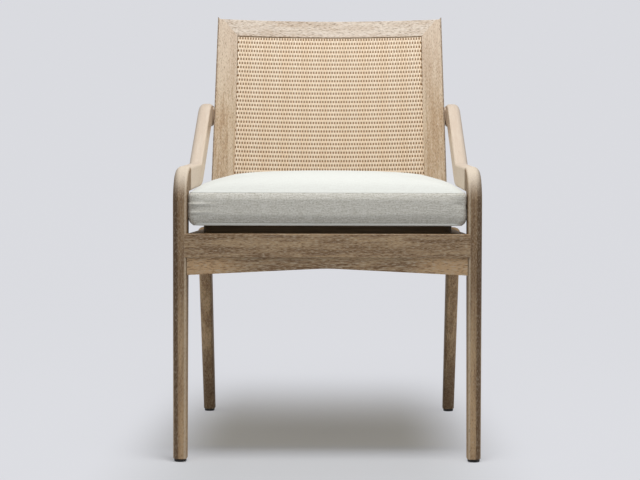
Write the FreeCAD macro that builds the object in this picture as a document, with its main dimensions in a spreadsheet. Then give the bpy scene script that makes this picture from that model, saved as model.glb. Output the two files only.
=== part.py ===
import FreeCAD, Part
import math
import os
import Sketcher

# Side chair with sloping arms, a curved cane back and a loose box cushion.
# Millimetres. The origin is on the floor, in the middle of the overall width and depth.
# X runs to the right as seen from the front, Y from front to back, Z upwards.
# Pieces on the right are modelled, and those on the left are their mirror images.

doc = FreeCAD.newDocument("side_chair")

# Points closer than this are taken as one place
TOUCH = 0.01

# Driving dimensions
SIZES = {
    # Overall box
    "overall_width": 564.5,
    "overall_depth": 590.0,
    "overall_height": 880.0,
    # Legs and arms
    "leg_width": 27.0,
    "leg_depth": 40.0,
    "leg_foot_depth": 29.0,
    "leg_foot_taper": 2.0,
    "inner_edge_radius": 6.0,
    "outer_edge_radius": 12.0,
    "arm_top": 539.0,
    "arm_depth": 47.0,
    "knuckle_radius": 66.0,
    "knuckle_inner_radius": 10.0,
    "knuckle_reach": 69.0,
    "arm_run_rise": 11.0,
    "arm_end_top": 682.5,
    "arm_slope": 34.5,
    "arm_landing": 40.0,
    "arm_tail": 21.0,
    "arm_low_bend": 60.0,
    "arm_high_bend": 60.0,
    "boss_length": 20.0,
    "boss_height": 36.0,
    "boss_radius": 8.0,
    "rear_leg_depth": 48.0,
    "rear_leg_foot_depth": 29.0,
    "rear_leg_rake": 117.0,
    "rear_leg_round": 10.0,
    # Seat box
    "rail_top": 415.0,
    "front_rail_height": 43.5,
    "front_rail_depth": 28.0,
    "front_rail_lap": 4.5,
    "arris": 1.5,
    "apron_height": 31.5,
    "apron_rise": 12.4,
    "apron_peak_radius": 420.0,
    "apron_depth": 24.0,
    "apron_setback": 2.0,
    "side_rail_height": 60.0,
    "side_rail_width": 30.0,
    "side_rail_tail": 10.0,
    "rear_rail_depth": 34.0,
    "block_size": 62.0,
    "block_blunt": 9.0,
    "block_height": 30.0,
    "deck_width": 460.0,
    "deck_thickness": 14.0,
    "deck_setback": 40.0,
    "deck_gap": 5.0,
    "deck_corner": 18.0,
    # Back frame
    "recline": 13.0,
    "back_radius": 1850.0,
    "back_thickness": 28.0,
    "back_top_width": 496.5,
    "back_foot_width": 512.0,
    "ear_rise": 5.0,
    "ear_width": 5.0,
    "ear_run": 11.0,
    "ear_radius": 6.0,
    "top_rail_height": 37.0,
    "opening_top_width": 409.0,
    "opening_foot_width": 413.0,
    "bottom_rail_low": 16.0,
    "bottom_rail_height": 46.0,
    "stile_tail": 12.0,
    "cane_setback": 6.0,
    "cane_thickness": 2.0,
    "rebate_width": 9.0,
    "rebate_play": 0.5,
    "spline_thickness": 5.0,
    # Fasteners
    "dowel_diameter": 8.0,
    "dowel_length": 36.0,
    "dowel_spacing": 18.0,
    "dowel_margin": 7.0,
    "dowel_wall": 4.0,
    "long_dowel_diameter": 10.0,
    "long_dowel_length": 60.0,
    "screw_diameter": 4.5,
    "screw_head_diameter": 9.0,
    "screw_head_height": 3.0,
    "screw_bite": 8.0,
    "screw_inset": 20.0,
    # Glides
    "glide_diameter": 22.0,
    "glide_pad": 4.0,
    "glide_neck_diameter": 17.0,
    "glide_neck": 2.0,
    "glide_nail_diameter": 3.0,
    "glide_nail": 16.0,
    "glide_round": 1.0,
    # Cushion
    "cushion_clearance": 0.8,
    "cushion_lift": 0.4,
    "cushion_setback": 2.0,
    "cushion_overhang": 9.0,
    "cushion_side": 60.5,
    "cushion_crown": 42.0,
    "cushion_corner": 15.0,
    "cushion_foot_draw": 11.0,
    "cushion_waist_draw": 1.0,
    "cushion_seam_draw": 4.0,
    "crown_shoulder_draw": 35.0,
    "crown_upper_draw": 92.0,
    "crown_top_draw": 168.0,
    "cover_thickness": 2.0,
    "zipper_length": 320.0,
    "zipper_height": 9.0,
    "zipper_thickness": 1.6,
}

# Places worked out from the driving dimensions.
# A letter of the back frame's own coordinates is u across, n from front to back, v up along the recline.
PLACES = {
    # Legs and arms
    "floor": "0",
    "mid_plane": "0",
    "front": "-Sizes.overall_depth / 2",
    "back_limit": "Sizes.overall_depth / 2",
    "half_width": "Sizes.overall_width / 2",
    "leg_inner": "half_width - Sizes.leg_width",
    "leg_bottom": "Sizes.glide_pad + Sizes.glide_neck",
    "leg_back": "front + Sizes.leg_depth",
    "foot_back": "front + Sizes.leg_foot_depth",
    "foot_outer": "half_width - Sizes.leg_foot_taper",
    "foot_middle_x": "(leg_inner + foot_outer) / 2",
    "front_foot_y": "(front + foot_back) / 2",
    "arm_joint": "front + Sizes.knuckle_reach",
    "arm_bottom": "Sizes.arm_top - Sizes.arm_depth",
    "arm_axis": "Sizes.arm_top - Sizes.arm_depth / 2",
    "arm_run_axis": "arm_axis + Sizes.arm_run_rise",
    "arm_middle": "half_width - Sizes.leg_width / 2",
    "arm_end_axis": "Sizes.arm_end_top - Sizes.arm_depth / 2",
    # Back frame in its own coordinates
    "half_back_top": "Sizes.back_top_width / 2",
    "half_back_foot": "Sizes.back_foot_width / 2",
    "half_opening_top": "Sizes.opening_top_width / 2",
    "half_opening_foot": "Sizes.opening_foot_width / 2",
    "lean_sin": "sin(Sizes.recline)",
    "lean_cos": "cos(Sizes.recline)",
    "tip_forward": "Sizes.back_radius - sqrt(Sizes.back_radius ^ 2 - half_back_top ^ 2)",
    "back_tip": "(Sizes.overall_height - Sizes.rail_top - tip_forward * lean_sin) / lean_cos",
    "back_rail_top": "back_tip - Sizes.ear_rise",
    "opening_top": "back_rail_top - Sizes.top_rail_height",
    "ear_valley": "half_back_top - Sizes.ear_width",
    "mitre_outer": "half_back_top - Sizes.ear_run",
    "stile_low": "-Sizes.stile_tail",
    "bottom_rail_low": "Sizes.bottom_rail_low",
    "bottom_rail_top": "Sizes.bottom_rail_low + Sizes.bottom_rail_height",
    "opening_slope": "(half_opening_top - half_opening_foot) / (opening_top - stile_low)",
    "half_bottom_low": "half_opening_foot + opening_slope * (bottom_rail_low - stile_low)",
    "half_bottom_top": "half_opening_foot + opening_slope * (bottom_rail_top - stile_low)",
    "board_reach": "half_width + Sizes.back_thickness",
    "board_low": "stile_low - Sizes.stile_tail",
    "board_height": "back_tip - board_low + Sizes.stile_tail",
    "prism_depth": "4 * (tip_forward + Sizes.back_thickness)",
    "rebate_reach": "Sizes.rebate_width - Sizes.rebate_play",
    "rebate_top": "opening_top + Sizes.rebate_width",
    "rebate_low": "bottom_rail_top - Sizes.rebate_width",
    "half_rebate_top": "half_opening_top + Sizes.rebate_width",
    "half_rebate_low": "half_bottom_top + Sizes.rebate_width",
    "cane_top": "opening_top + rebate_reach",
    "cane_low": "bottom_rail_top - rebate_reach",
    "half_cane_top": "half_opening_top + rebate_reach",
    "half_cane_low": "half_bottom_top + rebate_reach",
    "spline_top": "opening_top + Sizes.rebate_play",
    "spline_low": "bottom_rail_top - Sizes.rebate_play",
    "half_spline_top": "half_opening_top + Sizes.rebate_play",
    "half_spline_low": "half_bottom_top + Sizes.rebate_play",
    "board_front": "Sizes.back_radius",
    "board_back": "Sizes.back_radius + Sizes.back_thickness",
    "cane_front": "Sizes.back_radius + Sizes.cane_setback",
    "cane_back": "cane_front + Sizes.cane_thickness",
    "spline_back": "cane_back + Sizes.spline_thickness",
    "rebate_back": "board_back + Sizes.rebate_width",
    "board_middle": "Sizes.back_radius + Sizes.back_thickness / 2",
    # Where the back frame stands, and where it meets the arms
    "back_y": "Sizes.overall_depth / 2 - Sizes.back_thickness * lean_cos - back_rail_top * lean_sin",
    "stile_mid_n": "sqrt(board_middle ^ 2 - half_back_top ^ 2) - Sizes.back_radius",
    "stile_mid_v": "(arm_end_axis - Sizes.rail_top + stile_mid_n * lean_sin) / lean_cos",
    "stile_mid_y": "back_y + stile_mid_n * lean_cos + stile_mid_v * lean_sin",
    "arm_end": "stile_mid_y + Sizes.arm_tail",
    "arm_bend_high": "stile_mid_y - Sizes.arm_landing",
    "arm_bend_low": "arm_bend_high - (arm_end_axis - arm_run_axis) / tan(Sizes.arm_slope)",
    "boss_front": "stile_mid_y - Sizes.boss_length / 2",
    "boss_back": "stile_mid_y + Sizes.boss_length / 2",
    "boss_low": "arm_end_axis - Sizes.boss_height / 2",
    "boss_high": "arm_end_axis + Sizes.boss_height / 2",
    "boss_reach": "arm_middle - half_back_top",
    # Seat box
    "rail_reach": "leg_inner + Sizes.front_rail_lap",
    "front_rail_length": "2 * rail_reach",
    "front_rail_low": "Sizes.rail_top - Sizes.front_rail_height",
    "front_rail_back": "front + Sizes.front_rail_depth",
    "apron_low": "front_rail_low - Sizes.apron_height",
    "apron_apex": "apron_low + Sizes.apron_rise",
    "apron_back": "front + Sizes.apron_setback + Sizes.apron_depth",
    "side_rail_inner": "leg_inner - Sizes.side_rail_width",
    "side_rail_middle": "leg_inner - Sizes.side_rail_width / 2",
    "side_rail_low": "Sizes.rail_top - Sizes.side_rail_height",
    "rear_rail_length": "2 * side_rail_inner",
    "rear_rail_back": "back_y + Sizes.back_thickness / 2",
    "rear_rail_front": "rear_rail_back - Sizes.rear_rail_depth",
    "rear_rail_middle": "rear_rail_back - Sizes.rear_rail_depth / 2",
    "side_rail_back": "rear_rail_back + Sizes.side_rail_tail",
    "rear_top_front": "side_rail_back - Sizes.rear_leg_depth",
    "rear_foot_y": "side_rail_back - Sizes.rear_leg_depth / 2 + Sizes.rear_leg_rake",
    "rear_foot_front": "rear_foot_y - Sizes.rear_leg_foot_depth / 2",
    "rear_foot_back": "rear_foot_y + Sizes.rear_leg_foot_depth / 2",
    "block_low": "Sizes.rail_top - Sizes.block_height",
    "block_inner": "side_rail_inner - Sizes.block_size",
    "block_blunt_inner": "side_rail_inner - Sizes.block_blunt",
    "front_block_back": "front_rail_back + Sizes.block_size",
    "front_block_blunt": "front_rail_back + Sizes.block_blunt",
    "rear_block_front": "rear_rail_front - Sizes.block_size",
    "rear_block_blunt": "rear_rail_front - Sizes.block_blunt",
    "deck_half": "Sizes.deck_width / 2",
    "deck_front": "front + Sizes.deck_setback",
    "deck_back": "back_y - tip_forward - Sizes.deck_gap",
    "deck_top": "Sizes.rail_top + Sizes.deck_thickness",
    # Fasteners
    "dowel_radius": "Sizes.dowel_diameter / 2",
    "half_spacing": "Sizes.dowel_spacing / 2",
    "rail_dowel_x": "leg_inner + Sizes.front_rail_lap / 2",
    "rail_dowel_y": "(front + front_rail_back) / 2",
    "rail_dowel_z": "(front_rail_low + Sizes.rail_top) / 2",
    "apron_dowel_y": "apron_back - Sizes.apron_depth / 2",
    "apron_dowel_z": "(apron_low + front_rail_low) / 2",
    "side_dowel_x": "side_rail_inner + Sizes.dowel_diameter",
    "rear_rail_dowel_x": "side_rail_inner - Sizes.dowel_diameter",
    "rear_rail_dowel_z": "(side_rail_low + Sizes.rail_top) / 2",
    "rear_leg_dowel_y": "side_rail_back - Sizes.dowel_margin - half_spacing",
    "rear_leg_dowel_z": "side_rail_low + Sizes.dowel_margin + dowel_radius",
    "long_dowel_radius": "Sizes.long_dowel_diameter / 2",
    "foot_dowel_x": "half_back_foot - Sizes.dowel_wall - long_dowel_radius",
    "screw_x": "side_rail_inner - Sizes.screw_inset",
    "front_screw_y": "front_rail_back + Sizes.screw_inset",
    "rear_screw_y": "rear_rail_front - Sizes.screw_inset",
    "screw_length": "Sizes.block_height + Sizes.screw_bite",
    "screw_radius": "Sizes.screw_diameter / 2",
    "screw_head_radius": "Sizes.screw_head_diameter / 2",
    "screw_head_low": "block_low - Sizes.screw_head_height",
    # Glides
    "glide_radius": "Sizes.glide_diameter / 2",
    "glide_neck_radius": "Sizes.glide_neck_diameter / 2",
    "glide_nail_radius": "Sizes.glide_nail_diameter / 2",
    "glide_tip": "leg_bottom + Sizes.glide_nail",
    # Cushion
    "cushion_half": "leg_inner - Sizes.cushion_clearance",
    "cushion_front": "front + Sizes.cushion_setback",
    "cushion_back": "deck_back + Sizes.cushion_overhang",
    "cushion_low": "deck_top + Sizes.cushion_lift",
    "cushion_seam": "cushion_low + Sizes.cushion_side",
    "cushion_top": "cushion_seam + Sizes.cushion_crown",
    "half_zipper": "Sizes.zipper_length / 2",
    "zipper_low": "cushion_low + (Sizes.cushion_side - Sizes.zipper_height) / 2",
    "zipper_high": "zipper_low + Sizes.zipper_height",
    "zipper_back": "cushion_back + Sizes.zipper_thickness",
    "zipper_depth": "Sizes.cushion_seam_draw + Sizes.zipper_thickness",
}

# Levels of the cushion from its foot to its crown: how far each is drawn in, and its height as
# a part of the side below the seam or of the crown above it.
SIDE_LEVELS = [("cushion_foot_draw", 0.0), ("cushion_waist_draw", 0.3), ("cushion_waist_draw", 0.7),
               ("cushion_seam_draw", 1.0)]
CROWN_LEVELS = [("cushion_seam_draw", 0.0), ("crown_shoulder_draw", 0.52), ("crown_upper_draw", 0.86),
                ("crown_top_draw", 1.0)]


def add_level(prefix, draw, height, skin):
    """Names for one level of a cushion form, drawn in from the cushion's plan and by the skin."""
    PLACES[prefix + "_half"] = "cushion_half - Sizes." + draw + skin
    PLACES[prefix + "_front"] = "cushion_front + Sizes." + draw + skin.replace("-", "+")
    PLACES[prefix + "_back"] = "cushion_back - Sizes." + draw + skin
    PLACES[prefix + "_corner"] = "Sizes.cushion_corner + Sizes." + draw + " / 4"
    PLACES[prefix + "_height"] = height


def add_levels(form, skin):
    """Names for all levels of a cushion form: the cover's outside, or the filling inside its skin."""
    for number, (draw, share) in enumerate(SIDE_LEVELS):
        low = "(cushion_low" + skin.replace("-", "+") + ")"
        rise = "(cushion_seam" + skin + " - " + low + ")"
        add_level(f"{form}_side_{number}", draw, f"{low} + {share} * {rise}", skin)
    for number, (draw, share) in enumerate(CROWN_LEVELS):
        height = f"cushion_seam{skin} + {share} * Sizes.cushion_crown"
        add_level(f"{form}_crown_{number}", draw, height, skin)


add_levels("cover", "")
add_levels("foam", " - Sizes.cover_thickness")


def fill_sheet(name, entries, lead):
    """Spreadsheet with a name and a value or formula on each row."""
    sheet = doc.addObject("Spreadsheet::Sheet", name)
    for row, (alias, content) in enumerate(entries.items(), start=1):
        sheet.set(f"A{row}", alias)
        sheet.set(f"B{row}", lead + str(content))
        sheet.setAlias(f"B{row}", alias)
    doc.recompute()
    return sheet


sizes = fill_sheet("Sizes", SIZES, "")
places = fill_sheet("Places", PLACES, "=")


def value(name):
    """Number behind a name, which may have a minus sign in front."""
    plain = name.lstrip("-")
    number = float(places.get(plain)) if plain in PLACES else float(sizes.get(plain))
    return -number if name.startswith("-") else number


def cell(name):
    """Expression that reads a name, which may have a minus sign in front."""
    plain = name.lstrip("-")
    sheet = "Places." if plain in PLACES else "Sizes."
    sign = "-" if name.startswith("-") else ""
    return sign + sheet + plain


def bind(thing, prop, name):
    """Ties a property to a name in the spreadsheets."""
    thing.setExpression(prop, cell(name))


def sketch_on(body, role, offset=None):
    """Sketch on one of the body's own planes, moved along the plane's normal."""
    sketch = body.newObject("Sketcher::SketchObject", body.Name + "_sketch")
    plane = next(item for item in body.Origin.OriginFeatures if item.Role == role)
    sketch.AttachmentSupport = [(plane, "")]
    sketch.MapMode = "FlatFace"
    if offset:
        bind(sketch, "AttachmentOffset.Base.z", offset)
    return sketch


def fix_point(sketch, curve, end, x_name, y_name):
    """Holds a point of the sketch at two named distances from its origin."""
    for kind, name in (("DistanceX", x_name), ("DistanceY", y_name)):
        index = sketch.addConstraint(Sketcher.Constraint(kind, -1, 1, curve, end, value(name)))
        sketch.setExpression(f"Constraints[{index}]", cell(name))


def fix_radius(sketch, curve, name):
    """Gives an arc a named radius."""
    index = sketch.addConstraint(Sketcher.Constraint("Radius", curve, value(name)))
    sketch.setExpression(f"Constraints[{index}]", cell(name))


def corner_arc(before, corner, after, radius):
    """Arc that rounds a corner: where it starts and ends along the path, its curve, and if it turns left."""
    back = (before - corner).normalize()
    ahead = (after - corner).normalize()
    half_angle = back.getAngle(ahead) / 2
    run = radius / math.tan(half_angle)
    centre = corner + (back + ahead).normalize() * (radius / math.sin(half_angle))
    start = corner + back * run
    end = corner + ahead * run
    turns_left = back.cross(ahead).z < 0
    first, last = (start, end) if turns_left else (end, start)
    angles = [math.atan2(point.y - centre.y, point.x - centre.x) for point in (first, last)]
    if angles[1] < angles[0]:
        angles[1] += 2 * math.pi
    circle = Part.Circle(centre, FreeCAD.Vector(0, 0, 1), radius)
    return start, end, Part.ArcOfCircle(circle, angles[0], angles[1]), turns_left


def outline(sketch, corners, closed=True):
    """Path through named corners, each (x, y) or (x, y, radius), rounded where a radius is given."""
    points = [FreeCAD.Vector(value(corner[0]), value(corner[1]), 0) for corner in corners]
    count = len(points)
    starts = list(points)
    ends = list(points)
    arcs = {}
    for index, corner in enumerate(corners):
        if len(corner) == 3:
            before = points[index - 1]
            after = points[(index + 1) % count]
            start, end, arc, turns_left = corner_arc(before, points[index], after, value(corner[2]))
            starts[index] = start
            ends[index] = end
            arcs[index] = (sketch.addGeometry(arc, False), turns_left)
    runs = count if closed else count - 1
    lines = []
    for index in range(runs):
        segment = Part.LineSegment(ends[index], starts[(index + 1) % count])
        lines.append(sketch.addGeometry(segment, False))
    for index, corner in enumerate(corners):
        first_open = not closed and index == 0
        last_open = not closed and index == count - 1
        if first_open:
            fix_point(sketch, lines[0], 1, corner[0], corner[1])
            continue
        if last_open:
            fix_point(sketch, lines[-1], 2, corner[0], corner[1])
            continue
        arriving = lines[index - 1]
        leaving = lines[index % runs]
        if index not in arcs:
            sketch.addConstraint(Sketcher.Constraint("Coincident", arriving, 2, leaving, 1))
            fix_point(sketch, leaving, 1, corner[0], corner[1])
            continue
        arc, turns_left = arcs[index]
        arc_start, arc_end = (1, 2) if turns_left else (2, 1)
        sketch.addConstraint(Sketcher.Constraint("Tangent", arriving, 2, arc, arc_start))
        sketch.addConstraint(Sketcher.Constraint("Tangent", arc, arc_end, leaving, 1))
        fix_radius(sketch, arc, corner[2])
        apex = sketch.addGeometry(Part.Point(points[index]), True)
        sketch.addConstraint(Sketcher.Constraint("PointOnObject", apex, 1, arriving))
        sketch.addConstraint(Sketcher.Constraint("PointOnObject", apex, 1, leaving))
        fix_point(sketch, apex, 1, corner[0], corner[1])


def new_body(name):
    """Empty body of the document."""
    return doc.addObject("PartDesign::Body", name)


def pad(body, sketch, length, reverse=False, symmetric=False):
    """Raises a sketch by a named length."""
    feature = body.newObject("PartDesign::Pad", body.Name + "_pad")
    feature.Profile = sketch
    feature.Reversed = reverse
    if symmetric:
        feature.SideType = "Symmetric"
    bind(feature, "Length", length)
    return feature


def extrusion(name, role, offset, length, corners, symmetric=False):
    """Body raised from one closed outline."""
    body = new_body(name)
    sketch = sketch_on(body, role, offset)
    outline(sketch, corners)
    pad(body, sketch, length, symmetric=symmetric)
    return body


def rectangle(left, low, right, high, radius=None):
    """Corners of an upright rectangle, rounded where a radius is named."""
    corners = [(left, low), (right, low), (right, high), (left, high)]
    return [corner + (radius,) for corner in corners] if radius else corners


def round_edges(body, feature, radius, chosen):
    """Rounds the chosen edges of a feature with a named radius."""
    doc.recompute()
    names = [f"Edge{number}" for number, edge in enumerate(feature.Shape.Edges, start=1) if chosen(edge)]
    rounding = body.newObject("PartDesign::Fillet", body.Name + "_rounding")
    rounding.Base = (feature, names)
    bind(rounding, "Radius", radius)
    return rounding


def carve(label, blank, *tools):
    """Piece that is left when each tool solid is taken out of the blank."""
    piece = blank
    for number, tool in enumerate(tools, start=1):
        last = number == len(tools)
        name = label if last else f"{label}_stage_{number}"
        step = doc.addObject("Part::Cut", name)
        step.Base = piece
        step.Tool = tool
        piece = step
    return piece


def common(label, first, second):
    """Piece shared by two solids."""
    piece = doc.addObject("Part::Common", label)
    piece.Base = first
    piece.Tool = second
    return piece


def mirrored(label, source):
    """Mirror image on the other side of the chair."""
    twin = doc.addObject("Part::Mirroring", label)
    twin.Source = source
    twin.Normal = FreeCAD.Vector(1, 0, 0)
    return twin


def group(label, members):
    """Several separate solids under one name."""
    bundle = doc.addObject("Part::Compound", label)
    bundle.Links = members
    return bundle


def both_sides(label, members):
    """Fasteners of the right side and their mirror images, under one name."""
    twins = [mirrored(f"{member.Name}_twin", member) for member in members]
    return group(label, members + twins)


# Dowels and screws
ALONG_X = FreeCAD.Rotation(FreeCAD.Vector(0, 1, 0), 90)
ALONG_Y = FreeCAD.Rotation(FreeCAD.Vector(1, 0, 0), -90)


def pin(name, centre, turn, radius="dowel_radius", length="dowel_length"):
    """Round pin with its middle at a point, along the direction that the turn gives to the Z axis."""
    solid = doc.addObject("Part::Cylinder", name)
    bind(solid, "Radius", radius)
    bind(solid, "Height", length)
    start = centre - turn.multVec(FreeCAD.Vector(0, 0, value(length) / 2))
    solid.Placement = FreeCAD.Placement(start, turn)
    return solid


def point(x_name, y_name, z_name):
    """Point at named coordinates."""
    return FreeCAD.Vector(value(x_name), value(y_name), value(z_name))


def pin_pairs(label, middle, turn, apart):
    """Two pins side by side at each side of the chair, spaced along the given direction."""
    away = apart * value("half_spacing")
    first = pin(f"{label}_first", middle + away, turn)
    second = pin(f"{label}_second", middle - away, turn)
    return both_sides(label, [first, second])


# The back frame's own coordinates
back_turn = FreeCAD.Rotation(FreeCAD.Vector(1, 0, 0), -value("recline"))
back_place = FreeCAD.Placement(point("mid_plane", "back_y", "rail_top"), back_turn)


def lean(body):
    """Stands a solid of the back frame at its foot on the seat box, leaning back."""
    body.Placement = back_place
    bind(body, "Placement.Base.y", "back_y")
    bind(body, "Placement.Base.z", "rail_top")
    bind(body, "Placement.Rotation.Angle", "-recline")
    return body


def board_point(across, up):
    """Point in the middle of the curved board's thickness."""
    inward = math.sqrt(value("board_middle") ** 2 - across ** 2) - value("back_radius")
    return back_place.multVec(FreeCAD.Vector(across, inward, up))


def curved_board(name, inner, outer):
    """Board bent to the plan curve of the back, between two radii about the axis in front of it."""
    body = new_body(name)
    sketch = sketch_on(body, "XY_Plane", "board_low")
    reach = value("board_reach")
    centre = FreeCAD.Vector(0, -value("back_radius"), 0)
    curves = []
    for radius in (inner, outer):
        swing = math.asin(reach / value(radius))
        circle = Part.Circle(centre, FreeCAD.Vector(0, 0, 1), value(radius))
        arc = Part.ArcOfCircle(circle, math.pi / 2 - swing, math.pi / 2 + swing)
        curves.append(sketch.addGeometry(arc, False))
    ends = {}
    for end in (1, 2):
        corners = [sketch.getPoint(curve, end) for curve in curves]
        ends[end] = sketch.addGeometry(Part.LineSegment(*corners), False)
    fix_point(sketch, curves[0], 3, "mid_plane", "-back_radius")
    sketch.addConstraint(Sketcher.Constraint("Coincident", curves[0], 3, curves[1], 3))
    fix_radius(sketch, curves[0], inner)
    fix_radius(sketch, curves[1], outer)
    for end, reach_name in ((1, "board_reach"), (2, "-board_reach")):
        for line_end, curve in enumerate(curves, start=1):
            sketch.addConstraint(Sketcher.Constraint("Coincident", curve, end, ends[end], line_end))
            constraint = Sketcher.Constraint("DistanceX", -1, 1, curve, end, value(reach_name))
            index = sketch.addConstraint(constraint)
            sketch.setExpression(f"Constraints[{index}]", cell(reach_name))
    pad(body, sketch, "board_height")
    return lean(body)


def front_view(name, corners):
    """Prism of a front view of the back frame, deep enough to pass through the curved board."""
    return lean(extrusion(name, "XZ_Plane", None, "prism_depth", corners, symmetric=True))


def trapezium(half_low, low, half_top, top):
    """Corners of a symmetrical front view that widens or narrows upwards."""
    return [("-" + half_low, low), (half_low, low), (half_top, top), ("-" + half_top, top)]


# Wooden dowels, from the front of the chair to the back
UPWARDS = FreeCAD.Vector(0, 0, 1)
BACKWARDS = FreeCAD.Vector(0, 1, 0)
arm_front_dowels = pin_pairs(
    "arm_front_dowels", point("arm_middle", "arm_joint", "arm_axis"), ALONG_Y, UPWARDS)
arm_back_dowels = pin_pairs(
    "arm_back_dowels", point("leg_inner", "stile_mid_y", "arm_end_axis"), ALONG_X, UPWARDS)
front_rail_dowels = pin_pairs(
    "front_rail_dowels", point("rail_dowel_x", "rail_dowel_y", "rail_dowel_z"), ALONG_X, UPWARDS)
side_rail_dowels = pin_pairs(
    "side_rail_dowels", point("side_dowel_x", "front_rail_back", "rail_dowel_z"), ALONG_Y, UPWARDS)
rear_rail_dowels = pin_pairs(
    "rear_rail_dowels", point("rear_rail_dowel_x", "rear_rail_middle", "rear_rail_dowel_z"), ALONG_X, UPWARDS)
rear_leg_dowels = pin_pairs(
    "rear_leg_dowels", point("leg_inner", "rear_leg_dowel_y", "rear_leg_dowel_z"), ALONG_X, BACKWARDS)
apron_dowel = pin("apron_dowel", point("leg_inner", "apron_dowel_y", "apron_dowel_z"), ALONG_X)
apron_dowels = both_sides("apron_dowels", [apron_dowel])

# Dowels of the back frame: stile feet, mitres and bottom rail
foot_dowel = pin("back_foot_dowel", board_point(value("foot_dowel_x"), 0), back_turn,
                 "long_dowel_radius", "long_dowel_length")
back_foot_dowels = both_sides("back_foot_dowels", [foot_dowel])
mitre_run = value("mitre_outer") - value("half_opening_top")
mitre_across = value("half_opening_top") + mitre_run / 2
mitre_up = (value("opening_top") + value("back_rail_top")) / 2
mitre_angle = 90 + math.degrees(math.atan2(mitre_run, value("top_rail_height")))
mitre_turn = back_turn.multiply(FreeCAD.Rotation(FreeCAD.Vector(0, 1, 0), mitre_angle))
mitre_dowel = pin("back_mitre_dowel", board_point(mitre_across, mitre_up), mitre_turn)
back_mitre_dowels = both_sides("back_mitre_dowels", [mitre_dowel])
bottom_up = (value("bottom_rail_low") + value("bottom_rail_top")) / 2
back_rail_dowels = pin_pairs(
    "back_rail_dowels", board_point(value("half_bottom_top"), bottom_up), ALONG_X, UPWARDS)

# Seat box: front rail, apron that rises to a soft peak in the middle, side rails and rear rail
front_rail_blank = extrusion(
    "front_rail_blank", "YZ_Plane", "-rail_reach", "front_rail_length",
    [("front", "front_rail_low", "arris"), ("front_rail_back", "front_rail_low"),
     ("front_rail_back", "rail_top"), ("front", "rail_top", "arris")])
front_seat_rail = carve("front_seat_rail", front_rail_blank, front_rail_dowels, side_rail_dowels)

apron_blank = extrusion(
    "apron_blank", "XZ_Plane", "-apron_back", "apron_depth",
    [("-leg_inner", "apron_low"), ("mid_plane", "apron_apex", "apron_peak_radius"),
     ("leg_inner", "apron_low"), ("leg_inner", "front_rail_low"), ("-leg_inner", "front_rail_low")])
front_apron = carve("front_apron", apron_blank, apron_dowels)

side_rail_blank = extrusion(
    "side_rail_blank", "YZ_Plane", "side_rail_inner", "side_rail_width",
    rectangle("front_rail_back", "side_rail_low", "side_rail_back", "rail_top"))
side_seat_rail_right = carve("side_seat_rail_right", side_rail_blank, side_rail_dowels, rear_rail_dowels,
                             rear_leg_dowels, back_foot_dowels)
side_seat_rail_left = mirrored("side_seat_rail_left", side_seat_rail_right)

rear_rail_blank = extrusion(
    "rear_rail_blank", "YZ_Plane", "-side_rail_inner", "rear_rail_length",
    rectangle("rear_rail_front", "side_rail_low", "rear_rail_back", "rail_top"))
rear_seat_rail = carve("rear_seat_rail", rear_rail_blank, rear_rail_dowels)


# Glides: a pad, a narrower neck and a nail, turned about the upright axis
def glide(label, x_name, y_name):
    """Nail-in glide under one foot."""
    body = new_body(label)
    sketch = sketch_on(body, "XZ_Plane")
    outline(sketch, [("mid_plane", "floor"), ("glide_radius", "floor", "glide_round"),
                     ("glide_radius", "glide_pad"), ("glide_neck_radius", "glide_pad"),
                     ("glide_neck_radius", "leg_bottom"), ("glide_nail_radius", "leg_bottom"),
                     ("glide_nail_radius", "glide_tip"), ("mid_plane", "glide_tip")])
    turned = body.newObject("PartDesign::Revolution", label + "_turned")
    turned.Profile = sketch
    upright = next(item for item in body.Origin.OriginFeatures if item.Role == "Z_Axis")
    turned.ReferenceAxis = (upright, [""])
    turned.Angle = 360
    bind(body, "Placement.Base.x", x_name)
    bind(body, "Placement.Base.y", y_name)
    return body


glide_front_right = glide("glide_front_right", "foot_middle_x", "front_foot_y")
glide_front_left = mirrored("glide_front_left", glide_front_right)
glide_rear_right = glide("glide_rear_right", "foot_middle_x", "rear_foot_y")
glide_rear_left = mirrored("glide_rear_left", glide_rear_right)


# Legs: a side view raised across the leg's width, tapered on its outer face, with rounded edges
def leg(name, side_view, top):
    """Leg from its side view, narrowing towards the foot on the outer face."""
    body = new_body(name)
    sketch = sketch_on(body, "YZ_Plane", "leg_inner")
    outline(sketch, side_view)
    blank = pad(body, sketch, "leg_width")
    wedge = sketch_on(body, "XZ_Plane")
    outline(wedge, [("half_width", top), ("foot_outer", "leg_bottom"), ("half_width", "leg_bottom")])
    taper = body.newObject("PartDesign::Pocket", name + "_taper")
    taper.Profile = wedge
    taper.Type = "ThroughAll"
    taper.SideType = "Symmetric"
    doc.recompute()
    if taper.Shape.Volume >= blank.Shape.Volume:
        raise RuntimeError(name + ": the taper cuts nothing")
    rounded = round_edges(body, taper, "outer_edge_radius", along_outer_face)
    round_edges(body, rounded, "inner_edge_radius", along_inner_face)
    return body


def along_side_view(points):
    """True for the ends of an edge along the side view, but not at the foot or the joint with the arm."""
    at_foot = all(abs(spot.z - value("leg_bottom")) < TOUCH for spot in points)
    at_joint = all(abs(spot.y - value("arm_joint")) < TOUCH for spot in points)
    return not (at_foot or at_joint)


def along_inner_face(edge):
    """True for an edge round the inner face of a leg."""
    points = [vertex.Point for vertex in edge.Vertexes]
    inside = all(abs(spot.x - value("leg_inner")) < TOUCH for spot in points)
    return inside and along_side_view(points)


def along_outer_face(edge):
    """True for an edge round the tapered outer face of a leg."""
    points = [vertex.Point for vertex in edge.Vertexes]
    outside = all(spot.x > value("arm_middle") for spot in points)
    return outside and along_side_view(points)


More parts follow.
